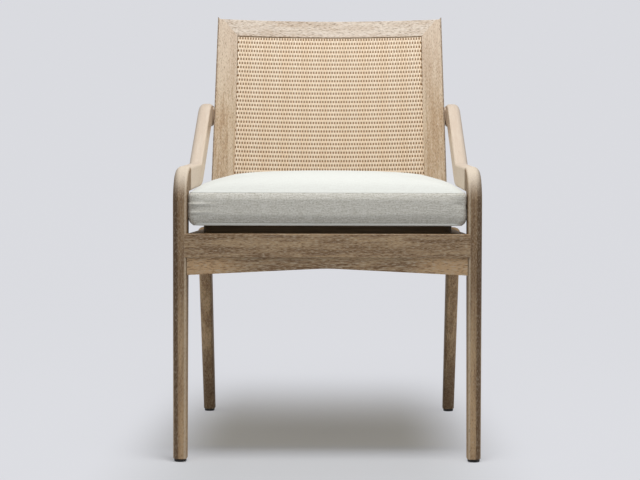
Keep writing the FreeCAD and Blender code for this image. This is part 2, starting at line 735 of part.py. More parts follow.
front_leg_blank = leg("front_leg_blank", [
    ("front", "leg_bottom"), ("foot_back", "leg_bottom"), ("leg_back", "arm_bottom", "knuckle_inner_radius"),
    ("arm_joint", "arm_bottom"), ("arm_joint", "arm_top"), ("front", "arm_top", "knuckle_radius")], "arm_top")
front_leg_right = carve("front_leg_right", front_leg_blank, front_rail_blank, arm_front_dowels,
                        front_rail_dowels, apron_dowels, glide_front_right)
front_leg_left = mirrored("front_leg_left", front_leg_right)

rear_leg_blank = leg("rear_leg_blank", [
    ("rear_foot_front", "leg_bottom"), ("rear_foot_back", "leg_bottom"),
    ("side_rail_back", "rail_top", "rear_leg_round"), ("rear_top_front", "rail_top", "rear_leg_round")],
    "rail_top")
rear_leg_right = carve("rear_leg_right", rear_leg_blank, rear_leg_dowels, glide_rear_right)
rear_leg_left = mirrored("rear_leg_left", rear_leg_right)

# Back frame: curved boards cut to their front views, with a rebate behind for the cane
frame_board = curved_board("frame_board", "board_front", "board_back")
rebate_view = front_view(
    "rebate_view", trapezium("half_rebate_low", "rebate_low", "half_rebate_top", "rebate_top"))
rebate = common("rebate", curved_board("rebate_board", "cane_front", "rebate_back"), rebate_view)
below_rails = extrusion("below_rails", "YZ_Plane", "-half_width", "overall_width",
                        rectangle("front", "floor", "back_limit", "rail_top"))


def back_member(label, corners, *tools):
    """Member of the back frame: its front view cut from the curved board, less the rebate and the tools."""
    blank = common(label + "_blank", frame_board, front_view(label + "_view", corners))
    return carve(label, blank, rebate, *tools)


back_stile_right = back_member("back_stile_right", [
    ("half_opening_foot", "stile_low"), ("half_back_foot", "stile_low"), ("half_back_top", "back_tip"),
    ("ear_valley", "back_rail_top", "ear_radius"), ("mitre_outer", "back_rail_top"),
    ("half_opening_top", "opening_top")], below_rails, arm_back_dowels, back_foot_dowels, back_mitre_dowels,
    back_rail_dowels)
back_stile_left = mirrored("back_stile_left", back_stile_right)
back_top_rail = back_member(
    "back_top_rail", trapezium("half_opening_top", "opening_top", "mitre_outer", "back_rail_top"),
    back_mitre_dowels)
back_bottom_rail = back_member(
    "back_bottom_rail", trapezium("half_bottom_low", "bottom_rail_low", "half_bottom_top", "bottom_rail_top"),
    back_rail_dowels)

# Cane sheet in the rebate, and the spline that holds it from behind
cane_view = front_view("cane_view", trapezium("half_cane_low", "cane_low", "half_cane_top", "cane_top"))
cane_panel = common("cane_panel", curved_board("cane_board", "cane_front", "cane_back"), cane_view)
spline_blank = common("spline_blank", curved_board("spline_board", "cane_back", "spline_back"), cane_view)
spline_hole = front_view(
    "spline_hole", trapezium("half_spline_low", "spline_low", "half_spline_top", "spline_top"))
cane_spline = carve("cane_spline", spline_blank, spline_hole)

# Arms: a rounded section led along a level run, a sloping limb and a level end, with a boss at the stile
arm_blank = new_body("arm_blank")
arm_section = sketch_on(arm_blank, "XZ_Plane", "-arm_joint")
outline(arm_section, [
    ("leg_inner", "arm_bottom", "inner_edge_radius"), ("half_width", "arm_bottom", "outer_edge_radius"),
    ("half_width", "arm_top", "outer_edge_radius"), ("leg_inner", "arm_top", "inner_edge_radius")])
arm_spine = sketch_on(arm_blank, "YZ_Plane", "arm_middle")
outline(arm_spine, [
    ("arm_joint", "arm_axis"), ("arm_bend_low", "arm_run_axis", "arm_low_bend"),
    ("arm_bend_high", "arm_end_axis", "arm_high_bend"), ("arm_end", "arm_end_axis")], closed=False)
arm_limb = arm_blank.newObject("PartDesign::AdditivePipe", "arm_limb")
arm_limb.Profile = arm_section
arm_limb.Spine = (arm_spine, [""])
arm_boss = sketch_on(arm_blank, "YZ_Plane", "arm_middle")
outline(arm_boss, rectangle("boss_front", "boss_low", "boss_back", "boss_high", "boss_radius"))
pad(arm_blank, arm_boss, "boss_reach", reverse=True)
arm_right = carve("arm_right", arm_blank, back_stile_right, arm_front_dowels, arm_back_dowels)
arm_left = mirrored("arm_left", arm_right)


# Deck, corner blocks and the screws that pull the deck down on the blocks
def deck_screw(name, y_name):
    """Round-head screw from under a corner block up into the deck."""
    shank = doc.addObject("Part::Cylinder", name + "_shank")
    bind(shank, "Radius", "screw_radius")
    bind(shank, "Height", "screw_length")
    head = doc.addObject("Part::Cylinder", name + "_head")
    bind(head, "Radius", "screw_head_radius")
    bind(head, "Height", "screw_head_height")
    for solid, low in ((shank, "block_low"), (head, "screw_head_low")):
        bind(solid, "Placement.Base.x", "screw_x")
        bind(solid, "Placement.Base.y", y_name)
        bind(solid, "Placement.Base.z", low)
    screw = doc.addObject("Part::Fuse", name)
    screw.Base = shank
    screw.Tool = head
    return screw


deck_screws = both_sides("deck_screws", [deck_screw("front_deck_screw", "front_screw_y"),
                                         deck_screw("rear_deck_screw", "rear_screw_y")])


def corner_block(end, rail, far, blunt):
    """Block glued into a corner of the seat box, with blunt ends, and its twin on the other side."""
    blank = extrusion(
        f"{end}_block_blank", "XY_Plane", "block_low", "block_height",
        [("side_rail_inner", rail), ("side_rail_inner", far), ("block_blunt_inner", far),
         ("block_inner", blunt), ("block_inner", rail)])
    block = carve(f"corner_block_{end}_right", blank, deck_screws)
    return [block, mirrored(f"corner_block_{end}_left", block)]


corner_blocks = corner_block("front", "front_rail_back", "front_block_back", "front_block_blunt")
corner_blocks += corner_block("rear", "rear_rail_front", "rear_block_front", "rear_block_blunt")
deck_blank = extrusion("deck_blank", "XY_Plane", "rail_top", "deck_thickness",
                       rectangle("-deck_half", "deck_front", "deck_half", "deck_back", "deck_corner"))
seat_deck = carve("seat_deck", deck_blank, deck_screws)


# Cushion: lofts through rounded rectangles, drawn in at the foot and the seam and crowned on top
def cushion_form(label, form):
    """Solid of the cushion's cover or filling, from its levels."""
    body = new_body(label)
    for part, levels in (("side", SIDE_LEVELS), ("crown", CROWN_LEVELS)):
        sections = []
        for number in range(len(levels)):
            level = f"{form}_{part}_{number}"
            section = sketch_on(body, "XY_Plane", level + "_height")
            outline(section, rectangle(f"-{level}_half", level + "_front", level + "_half", level + "_back",
                                       level + "_corner"))
            sections.append(section)
        loft = body.newObject("PartDesign::AdditiveLoft", f"{label}_{part}")
        loft.Profile = sections[0]
        loft.Sections = sections[1:]
    return body


cushion_solid = cushion_form("cushion_solid", "cover")
cushion_foam = cushion_form("cushion_foam", "foam")
cushion_cover = carve("cushion_cover", cushion_solid, cushion_foam)
zipper_blank = extrusion("zipper_blank", "XZ_Plane", "-zipper_back", "zipper_depth",
                         rectangle("-half_zipper", "zipper_low", "half_zipper", "zipper_high"))
cushion_zipper = carve("cushion_zipper", zipper_blank, cushion_solid)

PIECES = [
    front_leg_left, front_leg_right, rear_leg_left, rear_leg_right, arm_left, arm_right,
    front_seat_rail, front_apron, side_seat_rail_left, side_seat_rail_right, rear_seat_rail,
    back_stile_left, back_stile_right, back_top_rail, back_bottom_rail, cane_panel, cane_spline,
    seat_deck, deck_screws, *corner_blocks,
    arm_front_dowels, arm_back_dowels, front_rail_dowels, apron_dowels, side_rail_dowels, rear_rail_dowels,
    rear_leg_dowels, back_foot_dowels, back_mitre_dowels, back_rail_dowels,
    glide_front_left, glide_front_right, glide_rear_left, glide_rear_right,
    cushion_cover, cushion_foam, cushion_zipper,
]

doc.recompute()
for thing in doc.Objects:
    if "Invalid" in thing.State or "Error" in thing.State:
        raise RuntimeError(f"{thing.Label} failed: {thing.State}")
for piece in PIECES:
    shape = piece.Shape
    if shape.isNull() or not shape.isValid() or not shape.Solids:
        raise RuntimeError(f"{piece.Label} has no valid solid")
    print(f"{piece.Label}: {len(shape.Solids)} solids, {shape.Volume / 1000:.1f} cm3")

os.makedirs("parts", exist_ok=True)
for piece in PIECES:
    piece.Shape.exportStep(f"parts/{piece.Label}.step")
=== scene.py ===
# %% [markdown]
# # A side chair with a cane back and a loose cushion
# The wooden solids come from the CAD model and keep their shapes. This lesson gives them an oak finish, and
# it adds what a solid can't show: the woven cane, the padded cushion with its seams, and the zip behind it.
# Everything is in metres. X runs to the right as seen from the front, Y from front to back, and Z upwards.

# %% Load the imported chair
import bpy
import math
import numpy as np
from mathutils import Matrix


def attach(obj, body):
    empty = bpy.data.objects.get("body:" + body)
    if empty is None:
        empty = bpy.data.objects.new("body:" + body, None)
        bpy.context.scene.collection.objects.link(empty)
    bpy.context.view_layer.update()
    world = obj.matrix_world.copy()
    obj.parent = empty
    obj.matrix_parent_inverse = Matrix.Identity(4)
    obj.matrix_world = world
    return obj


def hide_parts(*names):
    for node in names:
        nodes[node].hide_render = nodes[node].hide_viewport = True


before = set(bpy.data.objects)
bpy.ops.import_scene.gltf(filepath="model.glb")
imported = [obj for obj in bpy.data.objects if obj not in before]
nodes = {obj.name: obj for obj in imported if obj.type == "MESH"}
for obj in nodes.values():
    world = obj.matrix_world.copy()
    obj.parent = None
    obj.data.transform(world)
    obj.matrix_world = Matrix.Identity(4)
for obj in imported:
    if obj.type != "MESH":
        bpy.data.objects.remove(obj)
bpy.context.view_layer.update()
MM = 0.001
TINY = 1e-9

# %% [markdown]
# ## Camera
# The photograph was taken level, from a little below the arms and about two and a half metres away. A level
# camera keeps upright edges upright, so the picture is moved with the lens shift instead of by tilting the
# camera. The lens and the distance were worked out from how much smaller the back and the rear feet look than
# the front, and the slight turn from the legs, which lean a little to the left in the picture.

# %% Set the camera where the photographer stood
PHOTO_WIDTH = 640
PHOTO_HEIGHT = 480
EYE = (0.018, -2.715, 0.495)
LENS = 75.0
EYE_PIXEL = (337.4, 190.0)
ROLL = math.radians(-0.12)

camera_data = bpy.data.cameras.new("camera")
camera_data.lens = LENS
camera_data.shift_x = (PHOTO_WIDTH / 2 - EYE_PIXEL[0]) / PHOTO_WIDTH
camera_data.shift_y = (EYE_PIXEL[1] - PHOTO_HEIGHT / 2) / PHOTO_WIDTH
camera = bpy.data.objects.new("camera", camera_data)
camera.location = EYE
camera.rotation_euler = (math.radians(90), ROLL, 0)
bpy.context.scene.collection.objects.link(camera)
bpy.context.scene.camera = camera
print("lens", LENS, "mm, shift", round(camera_data.shift_x, 3), round(camera_data.shift_y, 3))

# %% [markdown]
# ## Helpers
# Small helpers serve the whole lesson. One turns a colour as a painter writes it, an sRGB code, into the
# linear numbers that the renderer works with. A few add shader nodes and join them to what feeds them. One
# puts arrays of points and corners into a mesh, which is much faster than adding vertices one at a time.

# %% Colours and shader nodes
def colour(code):
    """Linear colour of an sRGB hex code: each channel goes back through the sRGB curve."""
    channels = [int(code[place:place + 2], 16) / 255 for place in (1, 3, 5)]
    linear = [part / 12.92 if part <= 0.04045 else ((part + 0.055) / 1.055) ** 2.4 for part in channels]
    return (*linear, 1.0)


def add(tree, kind, inputs=None, **settings):
    """Adds a shader node with its settings, and fills its inputs from plain values or from other nodes'
    outputs."""
    made = tree.nodes.new(kind)
    for name, setting in settings.items():
        setattr(made, name, setting)
    for name, source in (inputs or {}).items():
        if isinstance(source, bpy.types.NodeSocket):
            tree.links.new(source, made.inputs[name])
        else:
            made.inputs[name].default_value = source
    return made


def reckon(tree, operation, *values):
    """Result of a sum on plain values or other nodes' outputs."""
    return add(tree, "ShaderNodeMath", dict(enumerate(values)), operation=operation).outputs[0]


def ranged(tree, value, limits, results=(0.0, 1.0), smooth=False):
    """Carries a value from one range to another, straight or by a smooth step, and holds it at the ends."""
    inputs = {0: value, 1: limits[0], 2: limits[1], 3: results[0], 4: results[1]}
    kind = "SMOOTHSTEP" if smooth else "LINEAR"
    return add(tree, "ShaderNodeMapRange", inputs, interpolation_type=kind).outputs[0]


def blend(tree, share, first, second):
    """Mix of two colours: the first where the share is nothing, the second where it is one."""
    return add(tree, "ShaderNodeMix", {0: share, 6: first, 7: second}, data_type="RGBA").outputs[2]


def stretched_noise(tree, spot, size, detail, turn=(0, 0, 0)):
    """Noise whose grains have a real size in each direction, with the pattern turned first."""
    inputs = {"Vector": spot, "Rotation": turn, "Scale": size}
    placed = add(tree, "ShaderNodeMapping", inputs, vector_type="TEXTURE").outputs[0]
    return add(tree, "ShaderNodeTexNoise", {"Vector": placed, "Scale": 1.0, "Detail": detail}).outputs[0]


def object_spot(tree):
    """Place on the piece in metres, which is also its place in the chair."""
    return add(tree, "ShaderNodeTexCoord").outputs["Object"]


def split(tree, vector):
    """Three parts of a vector by their letters."""
    return add(tree, "ShaderNodeSeparateXYZ", {0: vector}).outputs


def end_with(tree, inputs):
    """Ends a material's tree with a surface shader that takes these inputs."""
    shader = add(tree, "ShaderNodeBsdfPrincipled", inputs)
    add(tree, "ShaderNodeOutputMaterial", {"Surface": shader.outputs[0]})


def new_material(name):
    """Empty material, and the node tree to fill."""
    material = bpy.data.materials.new(name)
    material.use_nodes = True
    material.node_tree.nodes.clear()
    return material, material.node_tree


print("middle grey is", round(colour("#808080")[0], 3))

# %% Meshes from arrays
def grid_quads(rows, columns, rows_close=False, columns_close=False):
    """Corner numbers of the quads of a grid, one per pair of neighbouring rows and columns.
    A closed direction also joins its last line to its first."""
    row = np.arange(rows if rows_close else rows - 1)[:, None]
    column = np.arange(columns if columns_close else columns - 1)[None, :]
    next_row = (row + 1) % rows
    next_column = (column + 1) % columns
    corners = [row * columns + column, row * columns + next_column,
               next_row * columns + next_column, next_row * columns + column]
    return np.stack(np.broadcast_arrays(*corners), axis=-1).reshape(-1, 4)


def mesh_piece(name, points, quads, material, uv=None):
    """Smooth mesh object at the origin from an array of points and an array of four corners per face."""
    mesh = bpy.data.meshes.new(name)
    mesh.vertices.add(len(points))
    mesh.vertices.foreach_set("co", np.ascontiguousarray(points, np.float32).ravel())
    mesh.loops.add(quads.size)
    mesh.loops.foreach_set("vertex_index", np.ascontiguousarray(quads, np.int32).ravel())
    mesh.polygons.add(len(quads))
    mesh.polygons.foreach_set("loop_start", np.arange(0, quads.size, 4, dtype=np.int32))
    mesh.update(calc_edges=True)
    mesh.polygons.foreach_set("use_smooth", np.ones(len(quads), bool))
    if uv is not None:
        layer = mesh.uv_layers.new(name="metres")
        layer.data.foreach_set("uv", np.ascontiguousarray(uv, np.float32).ravel())
    mesh.materials.append(material)
    piece = bpy.data.objects.new(name, mesh)
    bpy.context.scene.collection.objects.link(piece)
    print(name, "of", len(quads), "faces")
    return piece


def spots(x, y, z):
    """Points from their three places, which may be arrays of different shapes."""
    return np.stack(np.broadcast_arrays(x, y, z), axis=-1)


def once_round(count):
    """Evenly spaced angles of one full turn."""
    return np.linspace(0, 2 * math.pi, count, endpoint=False)


print("mesh helpers ready")

# %% [markdown]
# ## Studio
# A studio photograph of furniture is taken on a paper roll that runs along the floor and curves up behind, so
# that no horizon shows. One surface does the same here: a straight run, a quarter circle and a wall. A soft
# lamp hangs above and a little in front, which is why the tops of the chair are bright and its front is in
# half shade. Past the paper's ends the camera sees the paper's tone again, so a view from the side has no
# horizon either.

# %% Shape of the paper sweep
SWEEP_FRONT = -4.0
SWEEP_BEND = 2.6
SWEEP_RADIUS = 1.6
SWEEP_HEIGHT = 4.0
SWEEP_HALF = 5.0


def sweep_points(rows, columns):
    """Floor, bend and wall: the profile is a line, a quarter circle and a line, carried straight across."""
    floor_run = np.linspace(SWEEP_FRONT, SWEEP_BEND, rows, endpoint=False)
    turn = np.linspace(0, math.pi / 2, rows, endpoint=False)
    wall = np.linspace(SWEEP_RADIUS, SWEEP_HEIGHT, rows)
    wall_y = np.full(rows, SWEEP_BEND + SWEEP_RADIUS)
    y = np.concatenate([floor_run, SWEEP_BEND + SWEEP_RADIUS * np.sin(turn), wall_y])
    z = np.concatenate([np.zeros(rows), SWEEP_RADIUS * (1 - np.cos(turn)), wall])
    x = np.linspace(-SWEEP_HALF, SWEEP_HALF, columns)
    return spots(x[None, :], y[:, None], z[:, None]).reshape(-1, 3)


print("paper is", 2 * SWEEP_HALF, "m wide")

# %% Paper finish
# Matt background paper: no gloss and an even tone. Far from the chair, what the camera sees of it is mostly
# the paper's own tone, so the wall stays pale without more light. Under the chair the lamps' light counts, so
# its real shadow lies on the floor, and the mix paints a shadow pool round it that fades slowly to the back
# and faster to the sides. There the paper is also painted warmer, a painted reflection of the wood.
PAPER_TONE = "#dedfe4"
PAINTED_REFLECTION_TONE = "#dedad0"
LIT_TONE = "#dcdde0"
NEAR_EVENNESS = 0.09
FAR_EVENNESS = 0.94
SHADOW_MIDDLE = -0.022
SIDE_FADE = (0.16, 0.42)
BACK_FADE = (0.0, 0.95)
FRONT_FADE = (-0.35, -1.0)
WARM_FADE = (-0.1, -0.22)


def fading(tree, value, limits):
    """One up to the first limit, falling smoothly to nothing at the second."""
    return ranged(tree, value, limits, (1.0, 0.0), smooth=True)


def paper_finish(name):
    """Mixes the paper's own tone with the paper as the lamps light it, for what the camera sees, also in
    gloss or through a clear piece; the mix paints a shadow pool under the chair. All other light meets
    plain paper, painted warm under the chair as a painted reflection of the wood."""
    material, tree = new_material(name)
    spot = split(tree, object_spot(tree))
    sideways = reckon(tree, "ABSOLUTE", reckon(tree, "SUBTRACT", spot["X"], SHADOW_MIDDLE))
    behind = fading(tree, spot["Y"], BACK_FADE)
    in_front = fading(tree, spot["Y"], FRONT_FADE)
    lengthwise = reckon(tree, "MULTIPLY", behind, in_front)
    # Mask of the painted shadow pool round the lamp's real shadow; it also places the painted reflection.
    under = reckon(tree, "MULTIPLY", fading(tree, sideways, SIDE_FADE), lengthwise)
    evenness = ranged(tree, under, (0.0, 1.0), (FAR_EVENNESS, NEAR_EVENNESS))
    painted_reflection = reckon(tree, "MULTIPLY", under, fading(tree, spot["Y"], WARM_FADE))
    rays = add(tree, "ShaderNodeLightPath").outputs
    mirrored = reckon(tree, "ADD", rays["Is Glossy Ray"], rays["Is Transmission Ray"])
    looking = reckon(tree, "MINIMUM", reckon(tree, "ADD", rays["Is Camera Ray"], mirrored), 1.0)
    seen = reckon(tree, "MULTIPLY", looking, evenness)
    own_tone = add(tree, "ShaderNodeEmission", {"Color": colour(PAPER_TONE), "Strength": 1.0}).outputs[0]
    lit_tone = blend(tree, painted_reflection, colour(LIT_TONE), colour(PAINTED_REFLECTION_TONE))
    lit_paper = add(tree, "ShaderNodeBsdfDiffuse", {"Color": lit_tone, "Roughness": 1.0}).outputs[0]
    surface = add(tree, "ShaderNodeMixShader", {0: seen, 1: lit_paper, 2: own_tone}).outputs[0]
    add(tree, "ShaderNodeOutputMaterial", {"Surface": surface})
    return material


paper = paper_finish("background_paper")
print("paper finish of", len(paper.node_tree.nodes), "nodes")

# %% Lay the paper
SWEEP_ROWS = 24
SWEEP_COLUMNS = 8
sweep = mesh_piece("paper_sweep", sweep_points(SWEEP_ROWS, SWEEP_COLUMNS),
                   grid_quads(3 * SWEEP_ROWS, SWEEP_COLUMNS), paper)

# %% Lamp and surroundings
LAMP_PLACE = (0.08, -0.6, 1.75)
LAMP_TARGET = (0.0, 0.0, 0.4)
LAMP_SIZE = 0.5
LAMP_POWER = 15.2
SKY_TONE = "#fafaf8"
SKY_STRENGTH = 0.43
lamp_data = bpy.data.lights.new("overhead_lamp", "AREA")
lamp_data.shape = "SQUARE"
lamp_data.size = LAMP_SIZE
lamp_data.energy = LAMP_POWER
lamp = bpy.data.objects.new("overhead_lamp", lamp_data)
lamp.location = LAMP_PLACE
# The lamp is turned to face its target.
away = np.subtract(LAMP_PLACE, LAMP_TARGET)
lamp.rotation_euler = (math.acos(away[2] / np.linalg.norm(away)), 0, math.atan2(away[0], -away[1]))
bpy.context.scene.collection.objects.link(lamp)
world = bpy.data.worlds.new("studio")
world.use_nodes = True
studio = world.node_tree
studio.nodes.clear()
sky = add(studio, "ShaderNodeBackground", {"Color": colour(SKY_TONE), "Strength": SKY_STRENGTH})
surround = add(studio, "ShaderNodeBackground", {"Color": colour(PAPER_TONE), "Strength": 1.0})
looking_past = add(studio, "ShaderNodeLightPath").outputs["Is Camera Ray"]
around = add(studio, "ShaderNodeMixShader", {0: looking_past, 1: sky.outputs[0], 2: surround.outputs[0]})
add(studio, "ShaderNodeOutputWorld", {"Surface": around.outputs[0]})
bpy.context.scene.world = world
bpy.context.scene.view_settings.view_transform = "Standard"
print("lamp set, sky strength", SKY_STRENGTH)

# %% [markdown]
# ## Limed oak
# The frame is oak that was brushed open and rubbed with white lime, so pale paste fills the pores and the
# wood between them stays a soft brown. Grain runs along each board, so a leg and a rail need the pattern
# turned differently. Noise stretched along the grain gives fibres, and a shorter, sharper noise gives the
# filled pores. The Mapping node in its Texture mode turns the board first and divides by the grain's size
# afterwards, so sizes are real ones. Where the surface faces up, the finish takes another tone: a painted
# highlight on the pale boards and the legs, and a darker tone on the brown boards.

# %% Grain
# Sizes across and along the grain. Real pores are about 0.3 mm wide, too fine to show, so they are drawn
# wider.
FIGURE = (14 * MM, 14 * MM, 160 * MM)
FIBRE = (3.0 * MM, 3.0 * MM, 42 * MM)
FINE_PORE = (1.0 * MM, 1.0 * MM, 5 * MM)
LONG_PORE = (1.3 * MM, 1.3 * MM, 8 * MM)
OPEN_PORE = "#553d27"
TOP_PORE_SHARE = 0.15
PAINTED_TOP_RANGE = (0.08, 0.55)
FIGURE_RANGE = (0.82, 1.18)
FILLED_RANGE = (0.52, 0.66)
OPEN_RANGE = (0.45, 0.32)
SHEEN_RANGE = (0.3, 0.7)
OAK_ROUGHNESS = (0.52, 0.7)
PORE_RELIEF = 0.25
PORE_DEPTH = 0.3 * MM
GRAIN_TURNS = {
    "upright": (0, 0, 0),
    "across": (0, math.radians(90), 0),
    "lengthwise": (math.radians(-90), 0, 0),
    "leaning": (math.radians(-13), 0, 0),
    "sloping": (math.radians(-60), 0, 0),
}
print("grain runs in", len(GRAIN_TURNS), "directions")

# %% Marks on a board
# Some marks need to know where the arms begin, how the stiles slant, and from where on a face is a front.
ARM_INSIDE = 255.9 * MM
STILE_SLANT = 0.01703
FORWARD = -0.35


def board_measure(tree, kind, place, facing):
    """Number that grows over a board: its reach from the chair's middle plane, its height, how far its
    surface faces outwards, how far an inner or outer edge is rounded, its reach along the front of a slanting
    stile, or its height inside the arms only."""
    if kind == "height":
        return place["Z"]
    outward = reckon(tree, "MULTIPLY", reckon(tree, "SIGN", place["X"]), facing["X"])
    if kind == "outward":
        return outward
    if kind in ("outer_edge", "inner_edge"):
        turn = outward if kind == "outer_edge" else reckon(tree, "MULTIPLY", outward, -1.0)
        return reckon(tree, "MULTIPLY", turn, reckon(tree, "SUBTRACT", 1.0, turn))
    reach = reckon(tree, "ABSOLUTE", place["X"])
    if kind == "reach":
        return reach
    if kind == "front_reach":
        forward = reckon(tree, "LESS_THAN", facing["Y"], FORWARD)
        return reckon(tree, "MULTIPLY", forward, reckon(tree, "MULTIPLY_ADD", place["Z"], STILE_SLANT, reach))
    return reckon(tree, "MULTIPLY", reckon(tree, "LESS_THAN", reach, ARM_INSIDE), place["Z"])


print("arms begin", ARM_INSIDE, "m from the middle")

# %% Oak finish
def limed_oak(name, grain, pale, deep, lime, painted_top, painted_top_share, pore_share, pore_size=FINE_PORE,
              marks=(), painted_top_range=PAINTED_TOP_RANGE, top_pore_share=TOP_PORE_SHARE):
    """Oak with lime in its pores: a deep and a pale brown mixed by broad figure and fibres, marks of painted
    light and shade and of tone, a painted top tone where the surface faces up, light lime in the filled pores
    and a dark line in the open ones. Fewer pores show under the painted top tone."""
    material, tree = new_material(name)
    coordinates = add(tree, "ShaderNodeTexCoord").outputs
    figure, fibre, pore = [stretched_noise(tree, coordinates["Object"], size, detail, GRAIN_TURNS[grain])
                           for size, detail in ((FIGURE, 2.0), (FIBRE, 3.0), (pore_size, 2.0))]
    tone = ranged(tree, reckon(tree, "ADD", figure, fibre), FIGURE_RANGE)
    wood = blend(tree, tone, colour(deep), colour(pale))
    facing = split(tree, coordinates["Normal"])
    place = split(tree, coordinates["Object"])
    for kind, clear, full, share, code in marks:
        measure = board_measure(tree, kind, place, facing)
        wood = blend(tree, ranged(tree, measure, (clear, full), (0.0, share)), wood, colour(code))
    # Painted top tone where the surface faces up: a painted highlight on the pale boards and the legs.
    upward = ranged(tree, facing["Z"], painted_top_range, (0.0, painted_top_share), smooth=True)
    wood = blend(tree, upward, wood, colour(painted_top))
    showing = ranged(tree, upward, (0.0, 1.0), (pore_share, top_pore_share * pore_share))
    wood = blend(tree, ranged(tree, pore, FILLED_RANGE, (0.0, showing)), wood, colour(lime))
    wood = blend(tree, ranged(tree, pore, OPEN_RANGE, (0.0, showing)), wood, colour(OPEN_PORE))
    sheen = ranged(tree, fibre, SHEEN_RANGE, OAK_ROUGHNESS)
    relief = add(tree, "ShaderNodeBump", {"Strength": PORE_RELIEF, "Distance": PORE_DEPTH, "Height": pore})
    end_with(tree, {"Base Color": wood, "Roughness": sheen, "Normal": relief.outputs[0], "IOR": 1.5,
                    "Specular IOR Level": 0.35})
    return material


print("oak fibres are", FIBRE[2], "m long")

# %% Tones of the boards
# Boards of the back and the arms are paler than those of the seat box and the legs, and the top rail is the
# palest; the paler upper boards also stand in for the brighter light up there, painted light.
# The darkest mark colour is painted shade on edges and side faces, and old finish at the legs' joints.
SHADE_AND_OLD_FINISH = "#5e452d"
PAINTED_BOSS_SHADE = "#85613a"
PAINTED_EDGE_HIGHLIGHT = "#dccdb6"
SAPWOOD = "#cba880"
UPPER_PALE = "#d9cabd"
LIT_PALE = "#ecdfce"
# A mark has a measure, where it begins, where it is full, its share there and its colour.
# Arms: a painted highlight on their inner sides, and painted shade at the boss beside the stile.
ARM_PAINTED_LIGHT = [("outward", -0.3, -0.9, 0.7, LIT_PALE), ("inside_height", 0.60, 0.63, 0.5, PAINTED_BOSS_SHADE)]
# Stiles: paler towards the top, and painted shade along the outer edge of their front.
STILE_EDGE = [("height", 0.66, 0.86, 0.45, UPPER_PALE),
              ("front_reach", 259.6 * MM, 261.2 * MM, 0.85, SHADE_AND_OLD_FINISH)]
# Front legs: darker higher up and paler towards the foot, with painted shade on their outer edges and a
# painted highlight on their inner edges.
LEG_TONE_AND_PAINTED_LIGHT = [("height", 0.2, 0.33, 0.5, SHADE_AND_OLD_FINISH), ("height", 0.2, 0.1, 0.4, SAPWOOD),
            ("outer_edge", 0.08, 0.2, 0.85, SHADE_AND_OLD_FINISH), ("inner_edge", 0.1, 0.22, 0.5, PAINTED_EDGE_HIGHLIGHT)]
# Rear legs: darker towards the foot, and painted shade on their inner sides.
REAR_TONE_AND_PAINTED_SHADE = [("height", 0.17, 0.05, 0.75, SHADE_AND_OLD_FINISH), ("outward", -0.25, -0.7, 0.45, SHADE_AND_OLD_FINISH)]
LEG_JOINT = [("height", 0.2, 0.4, 1.0, SHADE_AND_OLD_FINISH)]
APRON_ENDS = [("reach", 0.14, 0.2, 0.8, SAPWOOD)]
BROWN_OAK = {"pale": "#b29776", "deep": "#81664b", "lime": "#bfb099", "painted_top": "#9e8160",
             "painted_top_share": 0.5, "pore_share": 0.75, "pore_size": LONG_PORE}
# Eased edges are paler, as handled edges are, and the paler tone also paints a highlight on the arris.
PALE_EDGE = {"pale": "#dbcdb4", "deep": "#cab597", "lime": "#e0d8cb", "painted_top": "#ded3c1",
             "painted_top_share": 0.5, "pore_share": 0.4}
TONES = {
    "arm": {"pale": "#d6c6b3", "deep": "#c1a78e", "lime": "#ded5c9", "painted_top": "#dacbbb",
            "painted_top_share": 0.7, "pore_share": 0.25, "marks": ARM_PAINTED_LIGHT},
    "stile": {"pale": "#ccb69a", "deep": "#ae8f6c", "lime": "#d7cab7", "painted_top": "#d0bfa8",
              "painted_top_share": 0.5, "pore_share": 0.6, "marks": STILE_EDGE},
    "top": {"pale": "#d4c6b6", "deep": "#b8a28b", "lime": "#ddd4cb", "painted_top": "#d7ccbf",
            "painted_top_share": 0.7, "pore_share": 0.8, "pore_size": LONG_PORE},
    "leg": {**BROWN_OAK, "pale": "#c0a37f", "deep": "#927455", "painted_top": "#ddcfbd", "painted_top_share": 0.97,
            "pore_share": 0.55, "pore_size": FINE_PORE, "marks": LEG_TONE_AND_PAINTED_LIGHT, "painted_top_range": (0.0, 0.95),
            "top_pore_share": 0.6},
    # The rear legs' copy of the brown oak is lighter, painted light against the seat's shadow on them.
    "rear": {**BROWN_OAK, "pale": "#dcbb91", "deep": "#a07f5d", "marks": REAR_TONE_AND_PAINTED_SHADE, "pore_size": FINE_PORE},
    "rail": BROWN_OAK,
    "apron": {**BROWN_OAK, "marks": APRON_ENDS},
    "edge": PALE_EDGE,
    "leg_edge": {**PALE_EDGE, "painted_top_share": 0.1, "marks": LEG_JOINT},
    "joint": {"pale": "#745c42", "deep": "#5d452e", "lime": "#836c4e", "painted_top": "#745c42",
              "painted_top_share": 0.5, "pore_share": 0.4},
}
print(len(TONES), "tones of oak")

# %% Finishes for the boards
# A board has the direction of its grain, its tone and the tone of its edges. Left and right are alike.
BOARDS = {
    "front_leg": ("upright", "leg", "leg_edge"), "rear_leg": ("upright", "rear", "rear"),
    "arm": ("sloping", "arm", "arm"), "front_seat_rail": ("across", "rail", "edge"),
    "front_apron": ("across", "apron", "joint"), "side_seat_rail": ("lengthwise", "rail", "edge"),
    "rear_seat_rail": ("across", "rail", "edge"), "back_stile": ("leaning", "stile", "stile"),
    "back_top_rail": ("across", "top", "edge"), "back_bottom_rail": ("across", "stile", "edge"),
    "cane_spline": ("across", "stile", "edge"),
}
OAK_BOARDS = {}
for board, finish in BOARDS.items():
    for name in (board, f"{board}_left", f"{board}_right"):
        if name in nodes:
            OAK_BOARDS[name] = finish
finishes = {}


